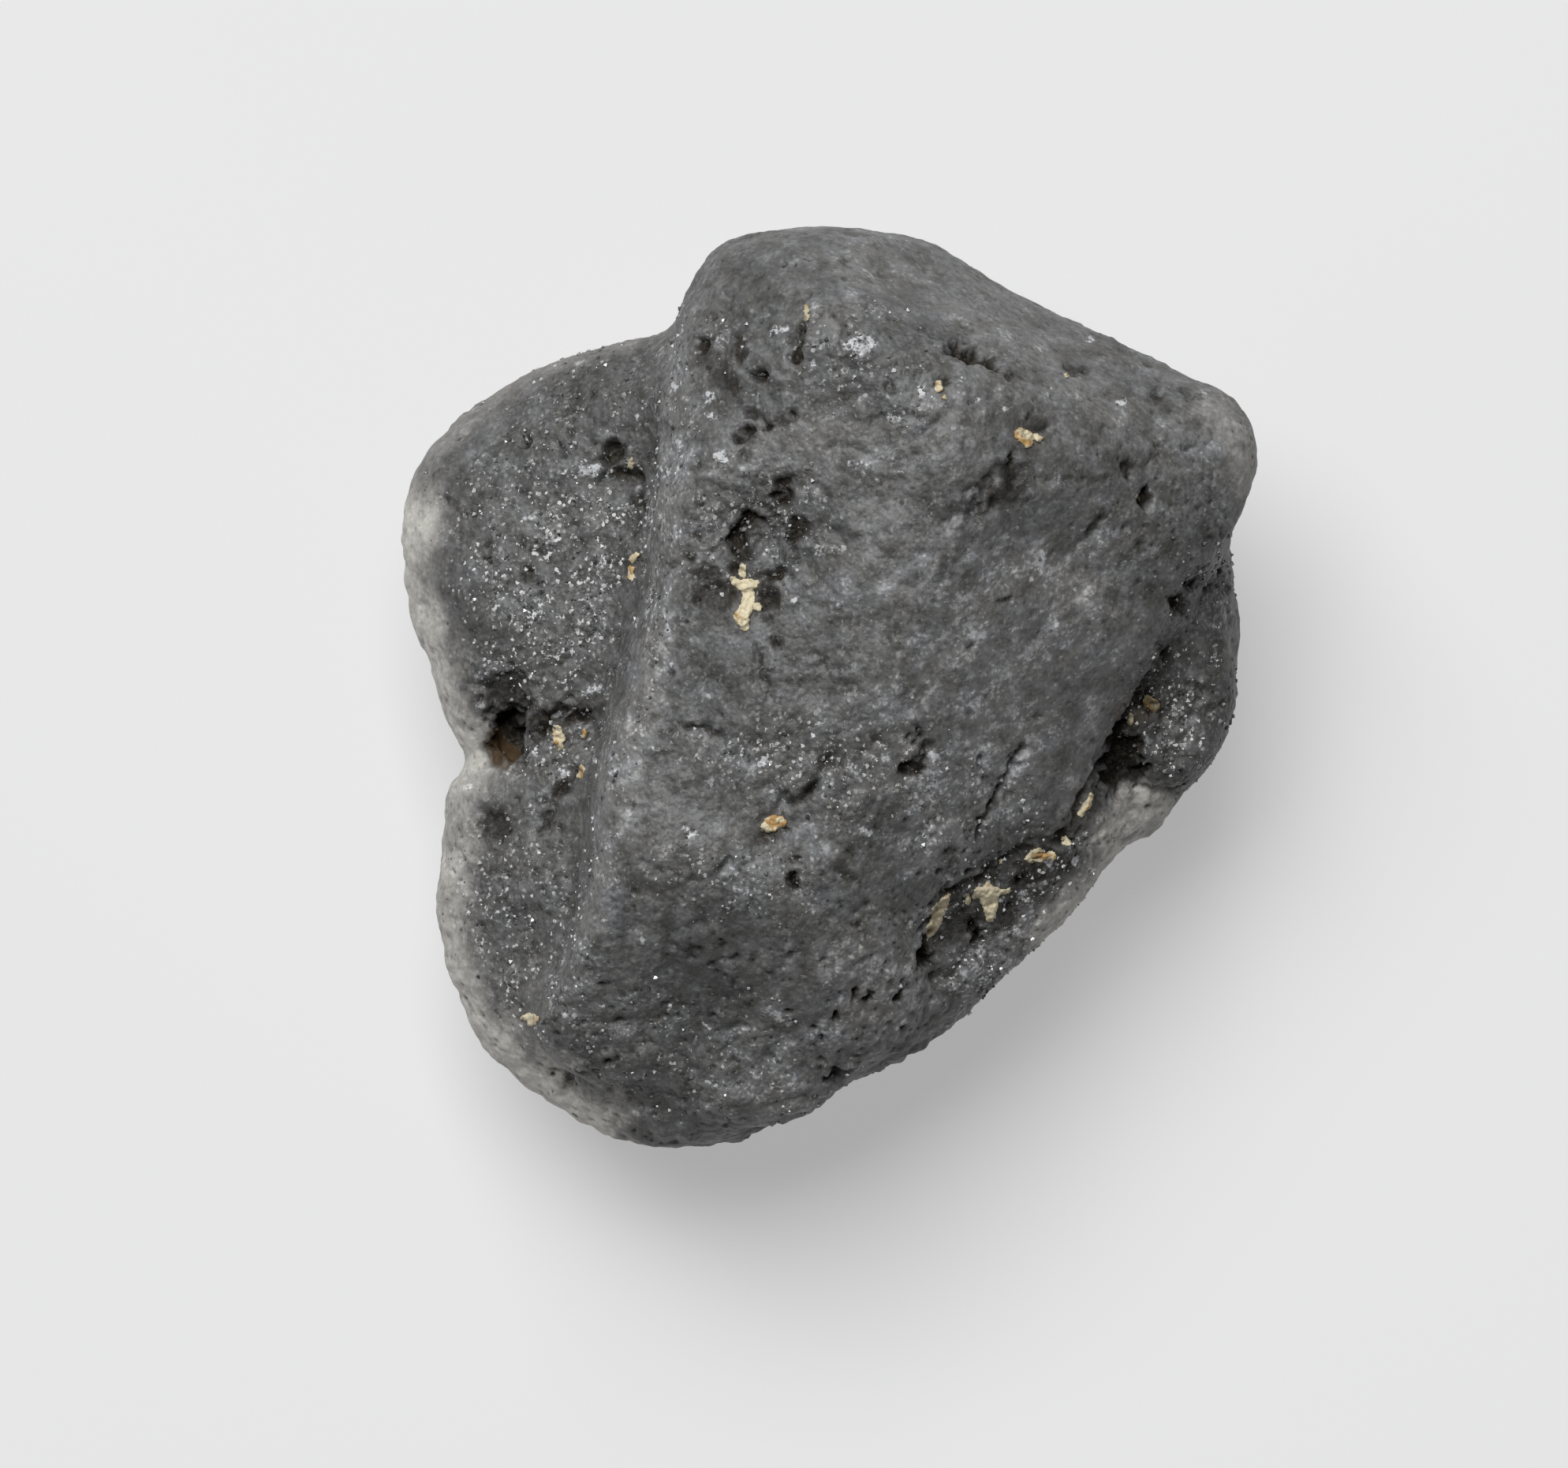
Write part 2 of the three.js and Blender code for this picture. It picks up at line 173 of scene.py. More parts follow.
class Wire:
    """One output socket, which can be used in sums as if it were a number."""

    def __init__(self, board, socket):
        self.board = board
        self.socket = socket

    def math(self, operation, *others, clamp=False):
        settings = {"operation": operation, "use_clamp": clamp}
        return self.board.node("ShaderNodeMath", settings, dict(enumerate((self, *others))))

    def __add__(self, other):
        return self.math("ADD", other)

    __radd__ = __add__

    def __mul__(self, other):
        return self.math("MULTIPLY", other)

    __rmul__ = __mul__

    def __sub__(self, other):
        return self.math("SUBTRACT", other)

    def __rsub__(self, other):
        return self.board.wire(other).math("SUBTRACT", self)

    def step(self, low, high):
        """0 where the wire is under low, 1 where it is over high, and smooth between."""
        values = {"Value": self, "From Min": low, "From Max": high}
        return self.board.node("ShaderNodeMapRange", {"interpolation_type": "SMOOTHSTEP"}, values)

    def clamped(self):
        """Cut off below 0 and above 1."""
        return self.math("ADD", 0.0, clamp=True)


class Board:
    """A node tree, and the one way to add a node to it."""

    def __init__(self, tree):
        self.tree = tree

    def node(self, kind, settings=None, values=None, out=0):
        """Adds a node: first its settings, then the values or wires of its sockets."""
        made = self.tree.nodes.new(kind)
        for name, setting in (settings or {}).items():
            if name == "stops":
                self.set_stops(made.color_ramp, setting)
            else:
                setattr(made, name, setting)
        for name, value in (values or {}).items():
            if isinstance(value, Wire):
                self.tree.links.new(value.socket, made.inputs[name])
            else:
                made.inputs[name].default_value = value
        return Wire(self, made.outputs[out]) if made.outputs else made

    def set_stops(self, ramp, stops):
        """Sets a colour ramp's stops, each a place and a colour."""
        while len(ramp.elements) < len(stops):
            ramp.elements.new(0.5)
        for element, (place, colour) in zip(ramp.elements, stops):
            element.position = place
            element.color = (*colour, 1.0)

    def wire(self, number):
        """A plain number as a wire, for sums that start with a number."""
        return self.node("ShaderNodeMath", {"operation": "ADD"}, {0: number, 1: 0.0})

    def mixed(self, factor, first, second):
        """The first colour where the factor is 0, the second where it is 1."""
        settings = {"data_type": "RGBA"}
        return self.node("ShaderNodeMix", settings, {0: factor, 6: first, 7: second}, out=2)

    def attribute(self, name):
        """A number that is kept at each corner of the mesh."""
        return self.node("ShaderNodeAttribute", {"attribute_name": name}, out="Fac")

    def millimetres(self):
        """The places of the object itself, in millimetres."""
        place = self.node("ShaderNodeTexCoord", out="Object")
        return self.node("ShaderNodeMapping", {}, {"Vector": place, "Scale": (1 / MM,) * 3})

    def noise(self, place, scale, detail, rough=0.5, out=0):
        """Soft noise, with about scale lumps in one unit of place."""
        values = {"Vector": place, "Scale": scale, "Detail": detail, "Roughness": rough}
        return self.node("ShaderNodeTexNoise", {}, values, out)

    def bump(self, height, depth):
        """The normal of a surface whose height varies by depth."""
        return self.node("ShaderNodeBump", {}, {"Height": height, "Distance": depth}, out="Normal")

    def solid(self, values):
        """The shader of a plain solid: its colour, its roughness and its kind of shine."""
        return self.node("ShaderNodeBsdfPrincipled", {}, values)

    def show(self, shader):
        """Makes a shader the one that is seen."""
        self.node("ShaderNodeOutputMaterial", {}, {"Surface": shader})


def new_material(name):
    """An empty material and its board."""
    material = bpy.data.materials.new(name)
    material.use_nodes = True
    material.node_tree.nodes.clear()
    return material, Board(material.node_tree)


print("Wire and Board are ready")

# %% [markdown]
# ## The table
#
# A gem lies on a sheet of milky glass, lit a little from below, so that its shadow stays pale. The
# sheet only has to catch the shadow, so it is a single face with a pale, matt finish that gives
# off some light of its own.

# %% The table
TABLE_SIDE = 3.0
TABLE_GLOW = 0.385
TABLE_GREYS = ((0.37, 0.37, 0.37, 1.0), (0.39, 0.39, 0.395, 1.0))


def table_finish():
    """Milky glass that is lit a little from below."""
    material, board = new_material("milky_glass")
    place = board.node("ShaderNodeTexCoord", out="Object")
    white = board.mixed(board.noise(place, 60.0, 4.0), *TABLE_GREYS)
    board.show(board.solid({
        "Base Color": white, "Roughness": 0.9, "Specular IOR Level": 0.2,
        "Emission Color": (1.0, 1.0, 1.0, 1.0), "Emission Strength": TABLE_GLOW}))
    return material


def make_table():
    """A flat sheet under the stone."""
    half = TABLE_SIDE / 2
    corners = [(-half, -half, 0), (half, -half, 0), (half, half, 0), (-half, half, 0)]
    mesh = bpy.data.meshes.new("table")
    mesh.from_pydata(corners, [], [(0, 1, 2, 3)])
    mesh.materials.append(table_finish())
    return placed("table", mesh)


make_table()
print("table side, m:", TABLE_SIDE)

# %% [markdown]
# ## The stone's skin
#
# The solid from the frame has the right size and the right crystals, but its faces are large and
# flat. The skin starts as a copy of it. Three ways lead from there to a stone: sculpting by hand,
# a texture that only pretends to be rough, or moving the mesh itself by rules. The last one is
# used, because a pit that is really there also shows on the outline and in the shadow. The copy is
# drawn anew with small even faces, the flat faces are smoothed away, and each corner is then moved
# along its normal. All lengths are in millimetres until the very end.

# %% Draw the stone anew with small faces
FACE_SIDE = 0.05
SMOOTH_ROUNDS = 32


def cad_copy(name):
    """The frame's solid as a merged mesh in millimetres."""
    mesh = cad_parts[name].data.copy()
    shape = bmesh.new()
    shape.from_mesh(mesh)
    bmesh.ops.remove_doubles(shape, verts=shape.verts, dist=1e-7)
    bmesh.ops.scale(shape, verts=shape.verts, vec=(1 / MM,) * 3)
    shape.to_mesh(mesh)
    shape.free()
    mesh.materials.clear()
    return mesh


def applied(carrier):
    """The mesh that an object's modifiers make. The modifiers and the object are thrown away."""
    graph = bpy.context.evaluated_depsgraph_get()
    made = bpy.data.meshes.new_from_object(carrier.evaluated_get(graph))
    carrier.modifiers.clear()
    bpy.data.objects.remove(carrier)
    return made


def small_faced(mesh):
    """The mesh drawn anew with small even faces."""
    carrier = placed("carrier", mesh)
    modifier = carrier.modifiers.new("small_faces", "REMESH")
    modifier.mode = "VOXEL"
    modifier.voxel_size = FACE_SIDE
    return applied(carrier)


def read(collection, name, width, kind=float):
    """One property of every corner, edge or face, as an array."""
    values = np.empty(len(collection) * width, dtype=kind)
    collection.foreach_get(name, values)
    return values.reshape(-1, width)


def smoothed(points, edges, rounds):
    """Moves places, or single numbers, toward the middle of their neighbours, several times."""
    ends = np.concatenate([edges[:, 0], edges[:, 1]])
    others = np.concatenate([edges[:, 1], edges[:, 0]])
    neighbours = np.bincount(ends, minlength=len(points))[:, None]
    for _ in range(rounds):
        sums = [np.bincount(ends, column[others], len(points)) for column in points.T]
        points = 0.5 * points + 0.5 * np.stack(sums, axis=1) / neighbours
    return points


skin = small_faced(cad_copy("diamond"))
skin_edges = read(skin.edges, "vertices", 2, int)
skin_points = smoothed(read(skin.vertices, "co", 3), skin_edges, SMOOTH_ROUNDS)
print("skin:", len(skin.vertices), "corners,", len(skin.polygons), "faces")

# %% [markdown]
# ## Worn lumps and grains
#
# Bort is a felt of tiny crystals, so its surface is rough at every size: soft lumps about a
# millimetre wide, creases between them, and knobs down to the smallest that the mesh can hold.
# Noise at several sizes gives that. The river polished the tall faces more than the sheltered
# lobes, so the small sizes are weaker on the worn faces.

# %% Helpers for places and noise


def noise_at(points, per_mm, octaves=1, shift=0.0):
    """Noise from -1 to 1 at every point, with about per_mm lumps in a millimetre."""
    places = (points * per_mm + shift).tolist()
    if octaves == 1:
        return np.array([noise.noise(place) for place in places])
    return np.array([noise.fractal(place, 1.0, 2.0, octaves) for place in places])


def smooth_step(values, low, high):
    """0 under low, 1 over high, and smooth between."""
    t = np.clip((values - low) / (high - low), 0.0, 1.0)
    return t * t * (3 - 2 * t)


def blob(plan, x, y, width, height, turn=0.0):
    """How far out each point is in an oval on the grid: 0 in its middle, 1 on its edge."""
    across = plan - spot(x, y)
    c, s = math.cos(math.radians(turn)), math.sin(math.radians(turn))
    u = (across[:, 0] * c + across[:, 1] * s) * 2 * GRID_PER_MM / width
    v = (across[:, 1] * c - across[:, 0] * s) * 2 * GRID_PER_MM / height
    return np.hypot(u, v)


def beside(plan, start, end):
    """How far along a straight line each point lies, from 0 to 1, and how far from it."""
    along = end - start
    t = np.clip((plan - start) @ along / (along @ along), 0.0, 1.0)
    return t, np.hypot(*(plan - start - t[:, None] * along).T)


def to_line(plan, line):
    """Distance in millimetres from each point to a line of spots on the grid."""
    places = [spot(*place) for place in line]
    return np.min([beside(plan, *ends)[1] for ends in zip(places, places[1:])], axis=0)


print("noise and grid helpers are ready")

# %% [markdown]
# ## Where the stone is worn, dirty and pale, and where light and shade are painted
#
# No rule says which face the river wore, where dirt stayed, which crystals are pale and where light and
# shade are painted into the grey, so these places are written down one by one, as a restorer would mark
# them on a plan. Nearly every row is a soft oval on the survey grid: x, y, width, height, turn in degrees,
# and strength. Painting such masks by hand would give the same freedom, but a table can be read, checked
# and changed.

# %% Worn, rough and glittering places
STREAKS = [
    # direction along the face in degrees, ovals
    (258, [(840, 700, 60, 640, -6, 0.25), (770, 1010, 60, 420, -12, 0.4)]),
    (60, [(1200, 800, 330, 560, -35, 0.8), (1330, 920, 200, 300, -35, 0.6)]),
    (-21, [(1180, 360, 460, 110, -22, 0.6), (1420, 480, 260, 90, -30, 0.5)]),
    (15, [(1030, 570, 190, 130, -12, 0.8)]), (240, [(890, 1000, 130, 130, 0, 0.8)]),
    (265, [(545, 680, 110, 420, 0, 0.6)]),
]
ROUGH = [
    (1130, 1350, 620, 90, 38, 1.0), (900, 1440, 260, 60, 4, 0.8), (990, 680, 190, 150, 0, 0.8),
    (650, 930, 120, 130, 0, 0.7), (1260, 1140, 320, 110, 35, 0.9), (1470, 930, 170, 230, 0, 0.6),
    (890, 560, 90, 330, -6, 0.5), (915, 430, 150, 180, 0, 1.0),
]
GLITTER = [
    (690, 690, 270, 400, 0, 1.0), (755, 500, 190, 130, 20, 0.6), (660, 1170, 190, 330, 12, 0.6),
    (720, 950, 130, 110, 0, 1.0), (1500, 930, 150, 250, 0, 0.8), (1290, 1130, 300, 110, 32, 1.0),
    (985, 680, 190, 170, 0, 0.45), (1100, 450, 240, 150, -20, 0.4), (980, 960, 260, 90, 0, 0.6),
    (1100, 980, 200, 170, 10, 0.4), (930, 1120, 250, 120, 0, 0.35), (1250, 1040, 200, 180, 32, 0.4),
    (880, 1330, 420, 180, -8, 0.3), (1530, 740, 90, 150, 0, 0.5), (920, 430, 120, 110, 0, 0.4),
    (838, 640, 60, 560, -6, 0.4), (772, 1030, 60, 400, -12, 0.25), (880, 600, 90, 300, 0, 0.25),
    (1285, 1195, 90, 230, -45, 1.0),
]
print("glittering places:", len(GLITTER), "rough places:", len(ROUGH))

# %% Lighter and darker places, partly painted light and shade, and pale rims with a painted glow
# each row lightens or darkens the grey: partly the stone's own tone, partly painted light and painted
# shade, such as the painted shadow at the foot of the wall and faces lightened where the lamp leaves them
# dark
TONE_AND_PAINTED_LIGHT = [
    (690, 690, 280, 420, 0, -0.25), (755, 500, 190, 150, 20, -0.35), (660, 1170, 190, 330, 12, -0.15),
    (800, 600, 50, 300, -6, -0.4), (780, 500, 110, 150, 0, -0.3), (740, 1000, 40, 300, -6, -0.3),
    (838, 700, 60, 620, -6, 0.8), (775, 1040, 60, 380, -12, 0.8), (1500, 930, 150, 270, 0, -0.5),
    (1280, 1130, 280, 90, 32, -0.6), (1170, 340, 420, 120, -22, 0.3), (1270, 830, 320, 460, -32, 0.9),
    (1350, 690, 220, 170, 20, 0.1), (1520, 560, 130, 140, 0, 0.3), (895, 1000, 130, 130, 0, -0.35),
    (980, 975, 190, 90, 0, 0.35), (1110, 990, 120, 90, 0, 0.25), (850, 1310, 150, 90, 0, -0.3),
    (1060, 1290, 380, 150, 38, 0.7), (1070, 1120, 260, 260, 0, 0.3), (1030, 570, 170, 120, -12, 0.2),
    (980, 660, 200, 160, 0, -0.3), (1380, 600, 160, 120, 0, 0.1), (1320, 470, 260, 70, -30, 0.35),
    (870, 820, 120, 200, 0, 0.1), (1000, 900, 220, 190, 0, -0.35), (940, 420, 130, 190, 0, -0.45),
    (1440, 1048, 90, 80, 0, 1.0), (800, 1240, 220, 200, 0, 0.2), (1240, 1010, 260, 150, 38, 0.35),
    (690, 690, 300, 430, 0, -0.15), (1180, 1250, 180, 120, 40, 0.3), (1280, 1200, 220, 80, 42, 1.0),
]
# pale rims: a painted glow of the light that comes through the thin edges, which are also rubbed clean
RIMS = [
    # width, strength, line
    (76, 0.95, [(508, 655), (500, 700), (508, 780), (534, 850)]),
    (54, 1.0, [(534, 850), (562, 925), (596, 964)]),
    (24, 0.2, [(512, 640), (545, 570), (600, 510), (680, 460), (800, 432)]),
    (66, 0.75, [(585, 985), (558, 1040), (552, 1100), (552, 1160), (568, 1225)]),
    (66, 1.0, [(566, 1235), (590, 1288), (622, 1332), (660, 1370), (708, 1406), (756, 1430)]),
    (34, 0.75, [(1326, 1184), (1362, 1142), (1398, 1104)]),
    (50, 1.0, [(1414, 1072), (1436, 1052), (1456, 1026)]),
    (34, 0.3, [(1540, 520), (1580, 560), (1575, 610)]),
]
print("shaded places:", len(TONE_AND_PAINTED_LIGHT), "rim lines:", len(RIMS))

# %% Dirt, painted shade and stains
# dark places: partly dirt and dark pits, partly painted shade, such as the painted shadow beside the wall
# and on facets turned from the lamp
DIRT_AND_PAINTED_SHADE = [
    # hole beside the notch and the left lobes
    (638, 884, 76, 66, 0, 0.8), (645, 940, 46, 66, 20, 1.0), (708, 910, 96, 36, 12, 1.2),
    (688, 932, 40, 40, 0, 1.1), (625, 1048, 46, 60, 0, 1.0), (735, 1105, 30, 60, 12, 0.4),
    (795, 600, 44, 34, 0, 0.7), (806, 640, 20, 60, -6, 0.5), (668, 559, 15, 24, 20, 1.1),
    (712, 571, 9, 28, 10, 1.1), (722, 548, 10, 10, 0, 1.0), (775, 568, 24, 40, 0, 1.1),
    (668, 728, 11, 24, -25, 1.0), (680, 742, 10, 12, 0, 1.0), (565, 632, 9, 10, 0, 0.9),
    (576, 641, 12, 9, 0, 0.7), (714, 994, 16, 56, -38, 1.5), (690, 1044, 14, 44, -25, 1.4),
    (745, 1010, 8, 90, 0, 0.3), (742, 1080, 8, 90, 6, 0.3), (780, 830, 26, 60, -12, 0.4),
    (780, 510, 60, 90, 0, 0.3),
    # top of the ridged crystal, left part
    (913, 474, 78, 30, -51, 0.95), (888, 437, 17, 22, 0, 1.2), (937, 436, 20, 44, 10, 1.2),
    (905, 455, 40, 30, -45, 0.6), (942, 551, 34, 30, 0, 1.2), (948, 525, 17, 17, 0, 1.3),
    (985, 538, 48, 14, 12, 1.3), (964, 478, 24, 17, 40, 1.3), (1010, 435, 15, 60, -14, 1.3),
    (941, 582, 14, 16, 0, 0.7), (877, 592, 16, 26, 0, 0.5), (912, 608, 24, 24, 0, 0.5),
    (870, 620, 9, 9, 0, 0.8), (835, 544, 8, 12, 0, 0.8), (852, 645, 10, 12, 0, 0.5),
    (912, 657, 18, 16, 0, 0.4), (885, 679, 11, 9, 0, 1.0),
    # dark cluster above the clay
    (990, 627, 30, 38, 0, 1.5), (954, 663, 38, 22, 0, 1.1), (980, 660, 14, 14, 0, 0.8),
    (941, 694, 28, 54, 5, 1.1), (934, 722, 24, 20, 0, 0.9), (1010, 672, 38, 40, 0, 1.3),
    (1003, 700, 30, 24, 0, 0.6), (984, 727, 52, 16, 0, 1.0), (975, 760, 32, 64, 0, 1.2),
    (896, 727, 48, 22, 8, 1.2), (874, 706, 15, 13, 0, 1.0), (846, 716, 30, 10, 0, 0.7),
    (902, 752, 70, 60, 0, 1.0), (882, 764, 14, 13, 0, 0.9), (915, 765, 30, 30, 0, 0.4),
    (1050, 640, 90, 50, 10, 0.35), (1080, 458, 64, 22, -8, 0.6), (1033, 507, 30, 22, 0, 0.5),
    (1070, 577, 66, 12, 6, 0.5), (1125, 533, 100, 12, 8, 0.5), (1197, 482, 26, 20, 0, 0.9),
    (1130, 492, 20, 18, 0, 0.8),
    # centre
    (874, 922, 24, 11, 0, 1.1), (899, 926, 26, 12, -20, 1.1), (955, 935, 14, 20, 0, 0.8),
    (990, 932, 30, 14, 0, 0.7), (850, 857, 14, 16, 0, 0.9), (983, 814, 16, 16, 0, 1.1),
    (967, 850, 14, 70, 20, 0.7), (1160, 976, 34, 26, 0, 0.9), (1174, 950, 34, 20, 40, 0.7),
    (1210, 863, 34, 40, 0, 0.4), (1024, 1000, 18, 50, -25, 0.9), (1005, 1018, 24, 12, 0, 0.9),
    (975, 1060, 60, 34, 30, 0.7), (1005, 1117, 20, 28, 0, 1.1), (1010, 1092, 22, 12, 0, 1.0),
    (912, 1102, 30, 14, 50, 0.8), (1078, 1113, 54, 12, -33, 0.7), (1205, 1083, 16, 44, -15, 0.6),
    (1255, 1028, 14, 50, -35, 0.9), (1060, 860, 60, 30, 0, 0.2),
    # upper right
    (1226, 443, 36, 16, -15, 1.4), (1256, 456, 30, 16, -25, 1.4), (1284, 475, 30, 16, 0, 0.8),
    (1310, 538, 40, 26, 0, 0.7), (1284, 589, 18, 24, 0, 1.3), (1278, 622, 70, 40, 35, 1.0),
    (1290, 580, 40, 60, 0, 0.6), (1245, 645, 60, 24, 35, 0.7), (1237, 617, 20, 11, 0, 0.8),
    (1235, 680, 80, 18, 57, 0.5), (1357, 467, 30, 22, 0, 0.7), (1378, 466, 13, 16, 0, 0.9),
    (1434, 592, 24, 38, 0, 0.9), (1455, 632, 22, 30, 0, 1.1), (1388, 668, 16, 50, -35, 0.8),
    (1446, 694, 10, 30, -15, 0.9), (1471, 500, 16, 20, 0, 0.8), (1508, 500, 22, 12, 0, 0.7),
    (1530, 742, 60, 60, 0, 0.7), (1500, 772, 26, 40, 0, 0.8), (1274, 763, 24, 12, 35, 0.6),
    (1360, 608, 90, 8, 0, 0.5),
    # right shoulder and ledge
    (1430, 960, 42, 90, -10, 0.9), (1460, 893, 44, 40, 0, 0.8), (1480, 840, 20, 70, -20, 0.7),
    (1390, 1022, 16, 56, -25, 0.9), (1308, 1106, 76, 34, 30, 1.1), (1256, 1106, 28, 26, 0, 1.1),
    (1275, 1156, 34, 60, -20, 1.2), (1226, 1162, 44, 34, 0, 1.1), (1237, 1192, 16, 24, 0, 1.1),
    (1180, 1207, 16, 44, 5, 1.2), (1189, 1242, 13, 12, 0, 1.0), (1348, 1086, 50, 40, 0, 0.7),
    (1366, 1045, 18, 36, -30, 1.0), (1411, 1062, 16, 14, 0, 0.8), (1310, 1140, 30, 24, 0, 0.7),
    (1200, 1180, 30, 40, 0, 0.8), (1215, 1138, 30, 24, 0, 0.7), (1250, 1172, 130, 50, 38, 0.65),
    (1335, 1115, 80, 40, 38, 0.6),
    # foot
    (960, 1255, 90, 12, 30, 0.4), (1084, 1261, 13, 18, 0, 1.1), (1102, 1269, 12, 22, -25, 1.1),
    (1142, 1265, 11, 26, 0, 1.1), (1060, 1292, 14, 16, 0, 1.1), (770, 1290, 60, 50, 0, 0.4),
    (780, 1395, 150, 20, -4, 0.4), (716, 1368, 10, 26, 0, 1.0), (745, 1362, 50, 8, 0, 0.8),
    (850, 1300, 60, 40, 0, 0.3), (763, 1250, 10, 10, 0, 1.0), (902, 1228, 30, 20, 0, 0.5),
    (881, 1207, 20, 10, 0, 0.8),
]
STAIN = [
    (634, 950, 48, 60, 20, 1.3), (700, 925, 70, 30, 0, 0.4), (1190, 1195, 30, 60, 0, 0.4),
    (1305, 1105, 60, 50, 0, 0.45), (1250, 1120, 60, 60, 0, 0.4), (1372, 1045, 30, 60, -20, 0.5),
    (1440, 905, 60, 60, 0, 0.7), (1275, 1165, 40, 60, 0, 0.3), (1444, 1060, 50, 34, 20, 0.35),
    (1300, 552, 44, 44, 0, 0.5), (947, 760, 60, 80, 0, 0.4), (980, 1055, 60, 40, 0, 0.4),
    (790, 1395, 150, 50, -4, 0.3),
]
print("dirty places:", len(DIRT_AND_PAINTED_SHADE), "stains:", len(STAIN))

# %% Pale crystals and painted glints
# each row makes the grey paler: partly pale crystals, partly painted glints and highlights
BRIGHT = [
    (1092, 435, 50, 28, 8, 1.2), (1168, 492, 12, 18, 0, 0.9), (1083, 405, 24, 18, 0, 0.5),
    (992, 417, 34, 16, 0, 0.5), (1027, 463, 16, 14, 0, 0.9), (1093, 595, 60, 26, -35, 0.5),
    (1135, 598, 26, 12, 0, 0.5), (1130, 530, 24, 12, 0, 0.6), (1278, 518, 28, 14, 0, 0.6),
    (987, 650, 22, 14, 0, 0.7), (923, 410, 24, 24, 0, 0.5), (897, 513, 24, 36, 0, 0.4),
    (920, 577, 34, 22, 0, 0.5), (1055, 698, 56, 18, 10, 0.5), (968, 965, 13, 15, 0, 1.0),
    (872, 1053, 32, 14, -20, 1.0), (1098, 1057, 18, 18, 0, 0.7), (1183, 958, 14, 24, 0, 0.7),
    (1122, 960, 20, 14, 0, 0.6), (1106, 990, 40, 22, 20, 0.4), (703, 911, 15, 10, -10, 1.0),
    (720, 904, 18, 16, 0, 0.8), (746, 876, 34, 12, 28, 0.9), (689, 862, 10, 15, 0, 1.0),
    (607, 896, 20, 16, 0, 0.7), (594, 998, 16, 10, 0, 0.9), (710, 980, 14, 13, 0, 0.9),
    (684, 963, 9, 8, 0, 1.0), (752, 963, 9, 9, 0, 1.0), (747, 597, 36, 22, 10, 1.2),
    (812, 530, 10, 16, 0, 0.8), (805, 615, 10, 16, 0, 0.8), (1425, 505, 14, 14, 0, 0.7),
    (1240, 503, 15, 13, 0, 0.7), (1315, 718, 24, 28, 0, 0.5), (1275, 1147, 9, 16, 0, 1.3),
    (1300, 1137, 17, 17, 0, 1.3), (1332, 1097, 12, 15, 0, 1.3), (1364, 1092, 13, 15, 0, 1.3),
    (1414, 1076, 30, 22, 0, 0.5), (1436, 1050, 60, 46, 20, 0.55), (1286, 1182, 12, 12, 0, 0.9),
    (1262, 1212, 12, 10, 0, 0.8), (1385, 1102, 16, 14, 0, 1.3), (1376, 1117, 8, 10, 0, 1.0),
    (1485, 942, 13, 13, 0, 0.8), (1500, 943, 12, 12, 0, 0.8), (740, 1250, 40, 14, 30, 0.4),
    (640, 640, 60, 60, 0, 0.3), (985, 1000, 30, 20, 0, 0.4), (905, 432, 44, 28, -10, 0.45),
    (856, 489, 11, 12, 0, 0.9), (892, 502, 24, 14, 0, 0.6), (901, 524, 16, 10, 20, 0.8),
    (851, 519, 9, 9, 0, 0.7), (906, 580, 28, 14, 0, 0.7), (839, 596, 8, 10, 0, 0.9),
    (996, 416, 11, 10, 0, 1.0), (980, 417, 12, 12, 0, 0.6), (1000, 490, 10, 10, 0, 0.9),
    (975, 467, 9, 12, 0, 0.6), (960, 497, 26, 18, 0, 0.5), (930, 651, 9, 9, 0, 0.8),
    (861, 677, 20, 13, 0, 0.5), (1006, 761, 14, 9, 0, 1.0), (992, 782, 10, 9, 0, 0.8),
    (824, 776, 8, 15, 0, 1.0), (806, 786, 8, 19, 0, 1.0), (783, 791, 8, 11, 0, 0.8),
    (834, 948, 26, 11, 0, 0.7), (856, 964, 15, 11, 0, 0.5), (815, 1192, 12, 9, 0, 0.8),
    (1308, 737, 8, 8, 0, 1.0), (1366, 746, 12, 8, 0, 0.9), (1466, 733, 8, 8, 0, 1.0),
    (1428, 504, 14, 11, 0, 1.0), (1384, 426, 14, 9, -30, 0.7), (1323, 706, 17, 20, 0, 0.6),
    (1170, 494, 11, 18, 0, 1.1), (1345, 1002, 8, 8, 0, 1.0), (1304, 970, 8, 8, 0, 0.8),
    (1012, 1202, 20, 14, 0, 0.6), (1100, 1057, 14, 10, 0, 0.9), (1151, 1115, 13, 12, 0, 0.5),
    (1312, 1114, 9, 9, 0, 0.8), (1236, 1151, 8, 8, 0, 0.8), (1288, 1160, 8, 8, 0, 0.8),
    (1172, 1200, 8, 10, 0, 1.0), (1205, 1198, 9, 8, 0, 0.7),
]

print("shining crystals:", len(BRIGHT))

# %% Turn the ovals and lines into numbers
RAGGED_EDGE = 0.35
OVAL_EDGE = (0.55, 1.25)
LINE_EDGE = (0.1, 1.0)


def patches(plan, rows, ragged):
    """The sum of soft ovals, each (x, y, width, height, turn, strength), with ragged edges."""
    total = np.zeros(len(plan))
    for *oval, strength in rows:
        total += strength * (1 - smooth_step(blob(plan, *oval) + ragged, *OVAL_EDGE))
    return total


def bands(plan, rows, ragged):
    """The strongest of soft lines, each (width, strength, line)."""
    total = np.zeros(len(plan))
    for width, strength, line in rows:
        away = to_line(plan, line) * GRID_PER_MM / width + ragged
        total = np.maximum(total, strength * (1 - smooth_step(away, *LINE_EDGE)))
    return total


